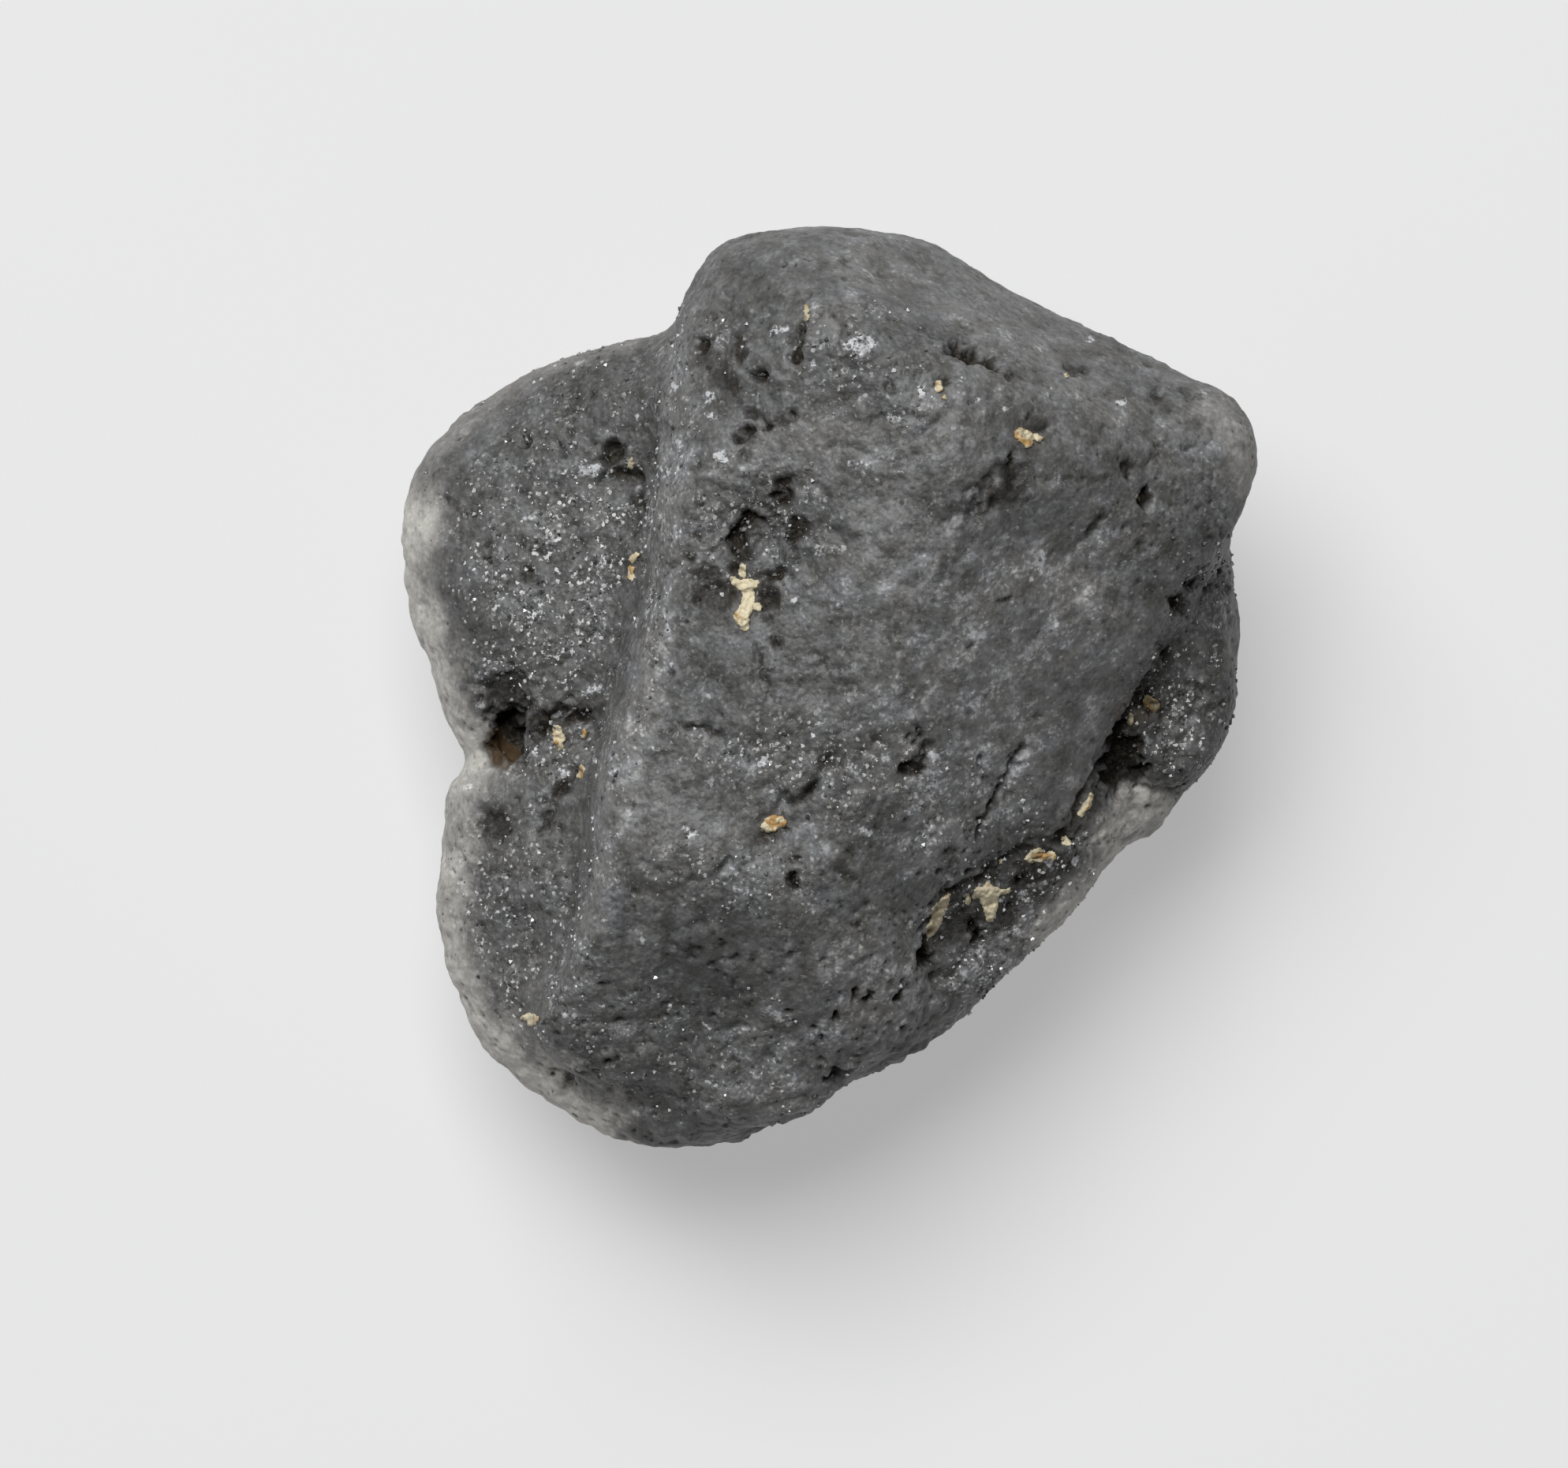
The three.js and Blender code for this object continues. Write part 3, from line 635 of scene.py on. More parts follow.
plan = seen_from_above(skin_points)
ragged = RAGGED_EDGE * noise_at(skin_points, 1.7, 4)
glitter = np.clip(patches(plan, GLITTER, ragged), 0, 1)
shade = np.clip(patches(plan, TONE_AND_PAINTED_LIGHT, ragged), -1, 1)
rim = bands(plan, RIMS, 0.9 * ragged)
rough = np.clip(patches(plan, ROUGH, ragged), 0, 1)
print("glitter share:", round(glitter.mean(), 3), "rim share:", round(rim.mean(), 3))

# %% Scratches and layers that run along a face
STREAK_STRETCH = 0.8


def streaks(points, plan):
    """Long thin noise along each worn face, and how worn each corner is."""
    lines, worn = np.zeros(len(points)), np.zeros(len(points))
    for toward, rows in STREAKS:
        along = np.array([math.cos(math.radians(toward)), math.sin(math.radians(toward)), 0.0])
        squeezed = points - STREAK_STRETCH * (points @ along)[:, None] * along
        share = np.clip(patches(plan, rows, ragged), 0, 1)
        lines += share * (noise_at(squeezed, 3.5) + 0.6 * noise_at(squeezed, 7.0, 1, 7.7))
        worn = np.maximum(worn, share)
    return np.clip(lines, -1, 1), worn


streak, worn = streaks(skin_points, plan)
print("worn share:", round(worn.mean(), 3))

# %% Lumps and grains
# how many in a millimetre, and how tall in millimetres
SWELL = (0.8, 0.088)
CREASES = [(1.5, 0.055), (3.4, 0.026)]
KNOBS = [(3.2, 0.026), (6.5, 0.022)]
STREAK_HEIGHT = 0.003
# how much lower where the stone is worn, and how much taller where it is rough
CREASE_WEAR = (0.4, 0.7)
KNOB_WEAR = (0.65, 0.8)
DEEPEST_FOLD = 0.5


def knobs_at(points, per_mm):
    """Round knobs with sharp joints between them, 0 in a joint and 1 on a knob."""
    return 1 - np.array([noise.voronoi(place)[0][0] for place in (points * per_mm).tolist()])


def wear(lower, taller):
    """How much of a lump is left at each corner."""
    return 1 - lower * worn + taller * rough


def lump_height(points):
    """How far each corner stands out from the smooth stone, in millimetres."""
    height = SWELL[1] * noise_at(points, SWELL[0])
    for index, (per_mm, tall) in enumerate(CREASES):
        folded = np.abs(noise_at(points, per_mm, 2, 5.1 + 9.7 * index))
        patchy = smooth_step(noise_at(points, 0.7, 2, 31.0 + 3 * index), -0.35, 0.45)
        crease = np.minimum(folded, DEEPEST_FOLD) / DEEPEST_FOLD - 1
        height += tall * wear(*CREASE_WEAR) * patchy * crease
    for per_mm, tall in KNOBS:
        height += tall * wear(*KNOB_WEAR) * (knobs_at(points, per_mm) - 0.5)
    return height + STREAK_HEIGHT * streak


normals = read(skin.vertices, "normal", 3)
height = lump_height(skin_points)
print("lumps, mm:", round(height.min(), 3), "to", round(height.max(), 3))

# %% [markdown]
# ## Pits and cracks
#
# Pits are holes that loose crystals left, and cracks follow the seams between crystals. Every pit
# is an oval with a ragged edge, and every crack is a line of spots with a width and a depth. They
# are written as tables, one row for each, because their places follow no rule. Where two overlap,
# the deeper one wins.

# %% Tables of pits and cracks
PITS = [
    # x, y, width, height, and where it matters the turn in degrees and the depth in millimetres
    # left lobes
    (640, 884, 64, 56, 0, 0.10), (648, 936, 30, 52, 0, 0.34), (632, 950, 26, 30, 0, 0.20),
    (655, 1118, 9, 9), (672, 1182, 12, 8), (616, 1182, 9, 8), (635, 1165, 8, 9), (665, 558, 15, 21, 20),
    (712, 570, 7, 26, 10), (722, 548, 9, 9), (775, 578, 25, 38, 0, 0.2), (726, 667, 10, 9),
    (565, 632, 8, 9), (575, 640, 9, 7), (668, 728, 10, 22, -25), (680, 741, 9, 10), (625, 735, 8, 9),
    (685, 755, 8, 9), (630, 775, 8, 7), (538, 768, 18, 20, 0, 0.05), (700, 906, 56, 20, 10, 0.13),
    (735, 914, 26, 18, 0, 0.12), (688, 920, 26, 38, 20, 0.2), (625, 1050, 36, 50, 0, 0.09),
    # wall and top, left side
    (803, 835, 7, 16), (806, 893, 6, 11), (835, 544, 8, 10), (838, 600, 7, 9),
    (887, 436, 14, 20, -10, 0.13), (936, 448, 14, 18, 0, 0.12), (946, 424, 16, 12, 0, 0.1),
    (920, 370, 10, 9), (955, 375, 9, 9), (975, 395, 22, 9), (1018, 378, 11, 10),
    (965, 478, 24, 14, 40, 0.15), (949, 524, 12, 12), (938, 556, 15, 17, 0, 0.13),
    (947, 544, 16, 12, 30, 0.13), (961, 530, 10, 18, -30), (941, 582, 12, 14),
    (1006, 451, 13, 15, 0, 0.13), (877, 590, 12, 20, 0, 0.05), (870, 620, 7, 8), (907, 615, 13, 9),
    (919, 601, 14, 8, 0, 0.04),
    # dark cluster above the clay
    (990, 618, 24, 20, 0, 0.12), (990, 635, 18, 14, 0, 0.14), (952, 662, 28, 20, 0, 0.17),
    (966, 660, 14, 12), (980, 660, 10, 11), (940, 692, 22, 42, 5, 0.19), (949, 707, 18, 12),
    (932, 722, 16, 14), (1006, 682, 20, 16), (1012, 667, 24, 14), (982, 727, 36, 12, 0, 0.15),
    (974, 765, 14, 28), (874, 706, 13, 11), (836, 715, 12, 8), (857, 717, 12, 8),
    (895, 727, 36, 14, 0, 0.09), (881, 735, 18, 8), (885, 679, 9, 7), (882, 764, 12, 11),
    (902, 755, 40, 30, 0, 0.06), (945, 740, 30, 70, 5, 0.1),
    # centre
    (983, 814, 14, 14), (848, 857, 9, 12), (825, 865, 9, 8), (874, 922, 22, 9), (898, 926, 22, 9, -20),
    (970, 943, 10, 9), (995, 935, 9, 9), (828, 939, 13, 6), (1060, 850, 8, 9), (1110, 893, 8, 8),
    (1140, 768, 6, 13, -20), (1158, 787, 7, 11, -20), (1174, 800, 7, 13, -20), (1232, 823, 8, 9),
    (1112, 940, 10, 9), (1095, 955, 9, 8), (1250, 940, 7, 15, -20), (1245, 962, 8, 9),
    (1228, 905, 8, 9), (1243, 1057, 10, 11), (1010, 1092, 16, 9), (1005, 1118, 15, 24, 0, 0.14),
    (957, 1145, 9, 15), (907, 1127, 9, 9), (813, 1096, 9, 9), (1087, 1160, 9, 8), (1210, 1080, 9, 10),
    (1197, 1107, 7, 18), (1187, 1122, 8, 12), (1275, 1090, 9, 9), (1160, 976, 26, 18, 0, 0.1),
    (855, 1110, 13, 5), (815, 1095, 8, 8), (1089, 1160, 8, 7), (1002, 1211, 9, 9), (1042, 1220, 12, 8),
    (1320, 911, 13, 9), (980, 1045, 34, 26, 0, 0.07),
    # upper right
    (1285, 473, 11, 10), (1127, 490, 11, 11), (1197, 480, 16, 11), (1308, 531, 10, 12),
    (1323, 546, 13, 10), (1285, 590, 12, 16, 0, 0.12), (1237, 617, 16, 8), (1357, 466, 20, 14),
    (1378, 466, 11, 14), (1400, 545, 6, 13), (1434, 591, 20, 32, 0, 0.1), (1455, 632, 18, 26, 0, 0.2),
    (1463, 583, 5, 34), (1471, 500, 12, 16), (1508, 500, 18, 9), (1383, 677, 10, 28, -30),
    (1396, 655, 9, 10), (1446, 694, 7, 26, -15), (1545, 665, 9, 9), (1535, 682, 9, 9),
    (1525, 740, 30, 16, 0, 0.13), (1500, 770, 14, 30, 0, 0.14), (1550, 745, 9, 14), (1587, 568, 5, 14),
    (1560, 733, 6, 22), (1274, 763, 18, 9, 35), (1508, 570, 9, 9), (1480, 560, 8, 8),
    # right shoulder and ledge
    (1431, 972, 38, 66, -10, 0.22), (1545, 880, 9, 9), (1553, 895, 8, 9), (1460, 893, 30, 30, 0, 0.12),
    (1385, 1003, 12, 10), (1370, 1042, 11, 10), (1353, 1066, 24, 20), (1295, 1115, 17, 12),
    (1256, 1105, 12, 11), (1280, 1150, 14, 12), (1237, 1190, 12, 26, 0, 0.2), (1230, 1170, 11, 11),
    (1198, 1155, 12, 11), (1180, 1206, 13, 36, 5, 0.22), (1189, 1242, 10, 9), (1320, 1085, 30, 14, 10),
    # foot of the ridged crystal
    (1084, 1261, 11, 15, 0, 0.13), (1102, 1269, 10, 18, -25, 0.12), (1060, 1292, 12, 13, 0, 0.12),
    (1142, 1265, 9, 22, 0, 0.12), (1172, 1262, 6, 20, -15), (902, 1228, 12, 9), (881, 1207, 14, 7),
    (1130, 1300, 9, 9), (1100, 1310, 9, 9), (1040, 1320, 10, 10), (1042, 1349, 10, 10),
    (1068, 1372, 26, 18), (870, 1212, 18, 9), (915, 1205, 9, 9), (933, 1217, 10, 9), (930, 1250, 9, 9),
    (905, 1293, 9, 9), (845, 1277, 9, 8), (763, 1251, 9, 9), (712, 1285, 9, 9), (740, 1297, 9, 9),
    (757, 1315, 8, 9), (735, 1315, 8, 8), (770, 1347, 10, 10), (783, 1421, 9, 9), (767, 1410, 9, 8),
]
WALL_FOOT = [(858, 421), (838, 480), (822, 560), (815, 640), (808, 740), (780, 810), (756, 890), (740, 970),
             (732, 1050), (724, 1130), (700, 1210), (672, 1314)]
LEDGE_SEAM = [(1182, 1215), (1184, 1175), (1200, 1135), (1260, 1098), (1310, 1078), (1355, 1055),
              (1385, 1005), (1415, 960)]
CRACKS = [
    # width, depth in millimetres, line
    (10, 0.02, WALL_FOOT), (13, 0.10, LEDGE_SEAM),
    (11, 0.10, [(730, 975), (705, 1005), (698, 1030), (683, 1055)]),
    (8, 0.12, [(758, 612), (780, 600), (812, 603)]), (9, 0.12, [(803, 612), (807, 640)]),
    (9, 0.14, [(1017, 405), (1010, 430), (1004, 458)]), (7, 0.07, [(935, 430), (948, 426), (960, 418)]),
    (9, 0.14, [(967, 543), (985, 537), (1006, 532)]), (5, 0.07, [(957, 830), (963, 855), (975, 885)]),
    (5, 0.06, [(1035, 825), (1041, 845)]), (9, 0.08, [(898, 924), (915, 938)]),
    (12, 0.12, [(1160, 930), (1172, 948), (1168, 962), (1150, 975), (1155, 987)]),
    (7, 0.10, [(1300, 950), (1280, 982), (1270, 1010), (1262, 1018), (1246, 1038)]),
    (5, 0.07, [(1245, 1048), (1243, 1062)]),
    (8, 0.11, [(1050, 963), (1036, 984), (1028, 1002), (1012, 1014), (1001, 1022)]),
    (6, 0.08, [(995, 1010), (985, 1036)]), (6, 0.07, [(925, 1092), (912, 1105)]),
    (7, 0.05, [(1060, 1102), (1080, 1114), (1100, 1126)]),
    (13, 0.20, [(1212, 435), (1226, 446), (1240, 447)]), (12, 0.20, [(1246, 450), (1268, 463)]),
    (5, 0.05, [(1314, 608), (1403, 608)]),
    (8, 0.05, [(1396, 655), (1380, 682), (1360, 697), (1337, 703)]),
    (16, 0.09, [(1290, 600), (1270, 635), (1250, 645), (1205, 660)]),
    (12, 0.04, [(1240, 655), (1230, 685), (1215, 710), (1197, 735), (1185, 750)]),
    (10, 0.12, [(1480, 830), (1455, 875), (1445, 895), (1430, 925)]),
    (9, 0.20, [(1430, 925), (1415, 965), (1416, 1000)]),
    (6, 0.07, [(1470, 903), (1477, 915), (1470, 932)]), (6, 0.07, [(1500, 885), (1520, 890)]),
    (8, 0.08, [(1450, 1000), (1490, 1003), (1503, 998)]),
    (6, 0.06, [(1392, 1028), (1397, 1060), (1392, 1094)]),
    (6, 0.04, [(1003, 1212), (985, 1230), (970, 1240), (955, 1257), (930, 1266), (900, 1268)]),
    (6, 0.06, [(778, 1280), (800, 1310)]), (8, 0.08, [(718, 1360), (718, 1386)]),
    (7, 0.08, [(700, 1362), (755, 1363)]), (6, 0.06, [(770, 1378), (805, 1381)]),
    (6, 0.05, [(830, 1390), (870, 1398), (900, 1397)]), (6, 0.08, [(622, 905), (655, 915), (690, 908)]),
    (5, 0.06, [(945, 565), (944, 590), (949, 620), (956, 652)]),
    (18, 0.09, [(1223, 640), (1262, 612), (1292, 585)]),
    (5, 0.05, [(1048, 572), (1075, 569), (1100, 578)]),
    (5, 0.04, [(1075, 536), (1125, 530), (1172, 527)]), (5, 0.06, [(957, 820), (960, 845), (968, 870)]),
    (4, 0.025, [(744, 1010), (746, 1080), (738, 1118)]),
]
print("pits:", len(PITS), "cracks:", len(CRACKS))

# %% Sink the pits and cracks
DEPTH_FOR_WIDTH = 0.75
PLAN_SHAKE = 0.055
PIT_GROWTH = 1.35
CRACK_GROWTH = 3
WHOLE_PIT = 10
PIT_PIECES = 4
PIECE_SPREAD = 0.55
PIT_WOBBLE = 0.55
CRACK_WOBBLE = 0.25
PIT_EDGE = (0.35, 1.05)
CRACK_EDGE = (0.1, 0.9)
# pits and cracks fade out between these slopes, 0 for a wall and 1 for a level face
STEEP = (0.05, 0.30)


def warped(plan, points):
    """The plan with every place shaken a little, so that nothing drawn on it is smooth."""
    shake = np.stack([noise_at(points, 6.5, 3, 3.3), noise_at(points, 6.5, 3, 8.8)], axis=1)
    return plan + PLAN_SHAKE * shake


def broken_pits(rows, seed):
    """Each large pit as a few smaller ones side by side, (x, y, width, height, turn, depth)."""
    rng = np.random.default_rng(seed)
    for x, y, width, tall, *more in rows:
        turn = more[0] if more else 0.0
        deep = more[1] if len(more) > 1 else DEPTH_FOR_WIDTH * min(width, tall) / GRID_PER_MM
        pieces = 1 if min(width, tall) < WHOLE_PIT else PIT_PIECES
        spread = 0.0 if pieces == 1 else PIECE_SPREAD
        for _ in range(pieces):
            dx, dy = spread * rng.uniform(-0.5, 0.5, 2) * (width, tall)
            share = rng.uniform(0.55, 0.85) if pieces > 1 else 1.0
            stretch = rng.uniform(0.75, 1.3)
            size = (width * share * stretch, tall * share / stretch)
            yield x + dx, y + dy, *size, turn + rng.uniform(-40, 40), deep * rng.uniform(0.7, 1.0)


def sunk(shaken, points):
    """How deep each corner is sunk by the pits and cracks."""
    wobble = noise_at(points, 8.0, 2)
    depth = np.zeros(len(points))
    for x, y, width, tall, turn, deep in broken_pits(PITS, seed=3):
        out = blob(shaken, x, y, width * PIT_GROWTH, tall * PIT_GROWTH, turn) + PIT_WOBBLE * wobble
        depth = np.maximum(depth, deep * (1 - smooth_step(out, *PIT_EDGE)))
    broken = smooth_step(noise_at(points, 5.0, 2, 15.5), -0.45, 0.05)
    for width, deep, line in CRACKS:
        reach = (width + CRACK_GROWTH) * (0.55 + 0.6 * broken)
        out = to_line(shaken, line) * GRID_PER_MM / reach + CRACK_WOBBLE * wobble
        deeper = deep * (0.35 + 0.65 * broken)
        depth = np.maximum(depth, deeper * (1 - smooth_step(out, *CRACK_EDGE)))
    return depth


shaken_plan = warped(plan, skin_points)
facing = smooth_step(normals[:, 2], *STEEP)
table_depth = sunk(shaken_plan, skin_points) * facing
print("deepest, mm:", round(table_depth.max(), 3))

# %% Scatter small pores over all sides
PORES = 5200
PORE_SIZES = (0.03, 0.085)
PORE_DEPTH = 0.6
PORE_WEAR = 0.55


def pore_depth(points, seed):
    """Depth of small pores scattered evenly over all sides."""
    rng = np.random.default_rng(seed)
    chosen = rng.choice(len(points), PORES, replace=False)
    sizes = rng.uniform(*PORE_SIZES, PORES) * rng.uniform(0.6, 1.0, PORES)
    depth = np.zeros(len(points))
    order = np.argsort(points[:, 0])
    xs = points[order, 0]
    for corner, size in zip(chosen, sizes):
        centre = points[corner]
        near = order[np.searchsorted(xs, centre[0] - size):np.searchsorted(xs, centre[0] + size)]
        near = near[np.abs(points[near, 1] - centre[1]) < size]
        away = np.linalg.norm(points[near] - centre, axis=1) / size
        depth[near] = np.maximum(depth[near], PORE_DEPTH * size * (1 - smooth_step(away, 0.2, 1.0)))
    return depth


pores = pore_depth(skin_points, seed=5) * (1 - PORE_WEAR * worn)
depth = np.maximum(table_depth, pores)
print("pored share:", round((pores > 0.005).mean(), 3))

# %% Move the corners and keep the resting face flat
FLAT_FOOT = (0.02, 0.25)

rest = smooth_step(skin_points[:, 2], *FLAT_FOOT)
moved = skin_points + normals * ((height - depth) * rest)[:, None]
moved[:, 2] = np.maximum(moved[:, 2], 0.0)
skin.vertices.foreach_set("co", (moved * MM).ravel())
skin.update()
print("moved, mm:", round(float(np.abs(moved - skin_points).max()), 3))

# %% Keep numbers for the finish at each corner
HOLLOW_DEPTH = (0.03, 0.14)
HOLLOW_PORE = (0.005, 0.04)
PORE_SHARE = 0.8
RELIEF_ROUNDS = 40
RELIEF_GAIN = 7.0


def keep(mesh, name, values):
    """Stores one number for each corner of the mesh."""
    mesh.attributes.new(name, "FLOAT", "POINT").data.foreach_set("value", values.astype(np.float32))


# the hollow number darkens pits, cracks and pores in the finish: painted shade, with dirt
pored = PORE_SHARE * smooth_step(pores, *HOLLOW_PORE)
hollow = np.clip(smooth_step(table_depth, *HOLLOW_DEPTH) + pored, 0, 1)
# lighter on knobs and darker in creases than their surroundings: painted light and painted shade
around = smoothed(height[:, None], skin_edges, RELIEF_ROUNDS)[:, 0]
relief = 0.5 + RELIEF_GAIN * (height - around)
facing_up = smooth_step(normals[:, 2], 0.0, 0.2)
kept = {"hollow": hollow, "relief": np.clip(relief, 0, 1), "worn": worn, "glitter": glitter,
        "shade": shade, "rim": rim, "streak": 0.5 + 0.5 * streak}
for name, rows in (("dirt", DIRT_AND_PAINTED_SHADE), ("stain", STAIN), ("bright", BRIGHT)):
    kept[name] = np.clip(patches(shaken_plan, rows, 0.0), 0, 1) * facing_up
for name, values in kept.items():
    keep(skin, name, values)
print("kept at each corner:", list(kept))

# %% Thin the mesh where it is plain
MOST_TRIANGLES = 196000
SPARE_ON_TOP = 0.04
SPARE_STEPS = 10


def thinned(mesh, most, spare):
    """Takes triangles out, most of them where spare, a number for each corner, is high."""
    triangles = sum(len(face.vertices) - 2 for face in mesh.polygons)
    print("before thinning:", triangles, "triangles")
    carrier = placed("carrier", mesh)
    group = carrier.vertex_groups.new(name="spare")
    for step in range(SPARE_STEPS + 1):
        chosen = np.nonzero(np.round(spare * SPARE_STEPS).astype(int) == step)[0]
        group.add(chosen.tolist(), step / SPARE_STEPS, "REPLACE")
    modifier = carrier.modifiers.new("thin", "DECIMATE")
    modifier.ratio = min(1.0, most / triangles)
    modifier.use_collapse_triangulate = True
    modifier.vertex_group = group.name
    modifier.vertex_group_factor = 1.0
    return applied(carrier)


under = SPARE_ON_TOP + (1 - SPARE_ON_TOP) * smooth_step(-normals[:, 2], -0.15, 0.35)
skin = thinned(skin, MOST_TRIANGLES, under)
corners = read(skin.vertices, "co", 3)
corners[:, 2] = np.maximum(corners[:, 2], 0.0)
skin.vertices.foreach_set("co", corners.ravel())
skin.shade_smooth()
print("thinned to", len(skin.polygons), "triangles")

# %% [markdown]
# ## The finish of the stone
#
# Bort is a felt of crystals too small to see, dark grey and matt, with paler and darker grains in it. One
# flat grey would look like rubber, and a painted image would repeat or blur. So the grey is worked out as a
# sum: a middle tone, plus noise at the sizes of the real grains, plus the numbers that the mesh keeps at
# its corners, some of which paint light and shade into the grey. The first cell gathers these parts and
# gives each a name.

# %% Noise and cells that the finish is made of
CELL_SHAKE = 0.035


def stone_parts(board):
    """The kept numbers and the noises that the finish is made of, each under its name."""
    parts = SimpleNamespace(**{name: board.attribute(name) for name in kept})
    mm = board.millimetres()
    parts.fine = board.noise(mm, 20.0, 2.0, 0.7)
    parts.coarse, parts.broad, parts.patch, clusters = [
        board.noise(mm, scale, 3.0, 0.6) for scale in (6.5, 1.2, 2.8, 2.2)]
    parts.clustered = clusters.step(0.42, 0.62)
    wavy = board.noise(mm, 14.0, 1.0, out="Color")
    shaken = board.node("ShaderNodeVectorMath", {"operation": "MULTIPLY_ADD"}, {
        0: wavy, 1: (CELL_SHAKE,) * 3, 2: mm})
    parts.big, parts.big_dome = crystals(board, shaken, 6.5, 0.70, 0.75)
    parts.small, parts.small_dome = crystals(board, shaken, 13.0, 0.50, 0.60)
    parts.cell = board.node("ShaderNodeTexVoronoi", {}, {"Vector": mm, "Scale": 24.0}, out="Color")
    parts.cell_red, parts.cell_green = split(board, parts.cell)
    return parts


def split(board, colour):
    """The red and the green of a colour, used as two numbers by chance."""
    return [board.node("ShaderNodeSeparateColor", {}, {"Color": colour}, out=out)
            for out in ("Red", "Green")]


def crystals(board, place, scale, bright_from, dark_from):
    """Scattered grains from -1, dark, to 1, bright, and their round height."""
    colour, away = [board.node("ShaderNodeTexVoronoi", {}, {"Vector": place, "Scale": scale}, out=out)
                    for out in ("Color", "Distance")]
    red, green = split(board, colour)
    middle = 1 - away.step(0.25, 0.60)
    return middle * (red.step(bright_from, 1.0) - green.step(dark_from, 1.0)), 1 - away


print("numbers that the finish reads:", len(kept))

# %% [markdown]
# ## Grey, dirt, painted shade and pale rims
#
# Three things change the grey. Dirt and painted shade fill the pits and cracks, and their edge has to be
# ragged, so noise is added to it before it is cut off. Single crystals are paler or darker, and some carry
# a painted glint. The thin rims are painted pale, a painted glow of the light that comes through them, and
# they are rubbed clean. All three are masks from 0 to 1, and a colour ramp turns the sum into grey at the
# very end.

# %% Dirt, grains and tone
MIDDLE_TONE = 0.520
EDGE_NOISE = {"fine": 2.0, "coarse": 2.4}
SHINE_NOISE = {"fine": 1.6, "coarse": 1.2}
CRUMBLE_NOISE = {"cell_red": 0.15, "fine": 0.10}
TONE_NOISE = {"coarse": 0.45, "broad": 0.4, "patch": 0.7, "relief": 0.25, "streak": 0.10}
GREYS = [(0.0, (0.006, 0.006, 0.005)), (0.25, (0.030, 0.030, 0.029)), (0.5, (0.078, 0.078, 0.077)),
         (0.75, (0.17, 0.17, 0.17)), (1.0, (0.50, 0.50, 0.50))]


def noisy(start, parts, weights):
    """Adds noises to a wire, each centred on zero and with its own weight."""
    for name, weight in weights.items():
        start = start + (getattr(parts, name) - 0.5) * weight
    return start


def add_masks(parts):
    """Adds soot and painted shade in the hollows, pale patches with painted glints and crumbling grains to
    the parts.
    """
    ragged = noisy(0.0, parts, EDGE_NOISE) + parts.small * 0.25
    dirt_and_shade_mask = (parts.dirt * 1.05 + parts.hollow * 0.20 + ragged).step(0.40, 1.25) * 0.7
    deep = (parts.hollow + ragged * 0.35).step(0.45, 0.95) * 0.75
    parts.soot = (dirt_and_shade_mask + deep).clamped() * (1 - parts.bright.step(0.5, 1.0) * 0.8)
    parts.shining = noisy(parts.bright, parts, SHINE_NOISE).step(0.40, 0.95)
    parts.crumble = noisy(0.0, parts, CRUMBLE_NOISE)


def stone_grey(board, parts):
    """The grey of the felt, with painted shade in the hollows and creases, painted light on knobs, and
    brighter grains, some of them painted glints.
    """
    glitter, clustered = parts.glitter, parts.clustered
    # specks: pale grains and painted glints, stronger where the glitter is high
    specks = parts.cell_red.step(0.70, 0.98) * parts.fine.step(0.40, 0.60) * (0.2 + 0.8 * clustered)
    grainy = ((parts.big * (0.16 + 0.14 * glitter) + parts.small * 0.15)
              * (0.35 + 0.65 * clustered) * (1 - 0.4 * parts.worn))
    # pits, cracks and pores are darkened with painted shade, with dirt
    tone = (noisy(MIDDLE_TONE + parts.crumble + grainy, parts, TONE_NOISE)
            # the listed lighter and darker places: the stone's own tone, with painted light and painted
            # shade
            + parts.shade * 0.20 - parts.hollow * 0.2 - parts.soot * 0.08 - parts.dirt * 0.12)
    # glittering places get paler grains and the listed bright places a painted glint
    tone = (tone + specks * (0.10 + 0.26 * glitter) + parts.small.clamped() * glitter * 0.22
            + parts.shining * 0.5).clamped()
    return board.node("ShaderNodeValToRGB", {"stops": GREYS}, {"Fac": tone})


print("greys in the ramp:", len(GREYS))

# %% Tint, stain and pale rims
WARM_SHADE = (1.02, 1.0, 0.965, 1.0)
COOL_SHADE = (0.985, 1.0, 1.03, 1.0)
BROWN = (0.060, 0.040, 0.020, 1.0)
RIM_GLOW_GREYS = [(0.0, (0.20, 0.195, 0.18)), (0.5, (0.445, 0.43, 0.395)), (1.0, (0.68, 0.66, 0.62))]
MIDDLE_RIM_GLOW = 0.5
RIM_GLOW_NOISE = {"coarse": 0.5, "patch": 0.6, "broad": 0.4}
STAIN_NOISE = {"coarse": 1.4}
RIM_NOISE = {"coarse": 1.0, "broad": 0.8, "relief": 0.4}


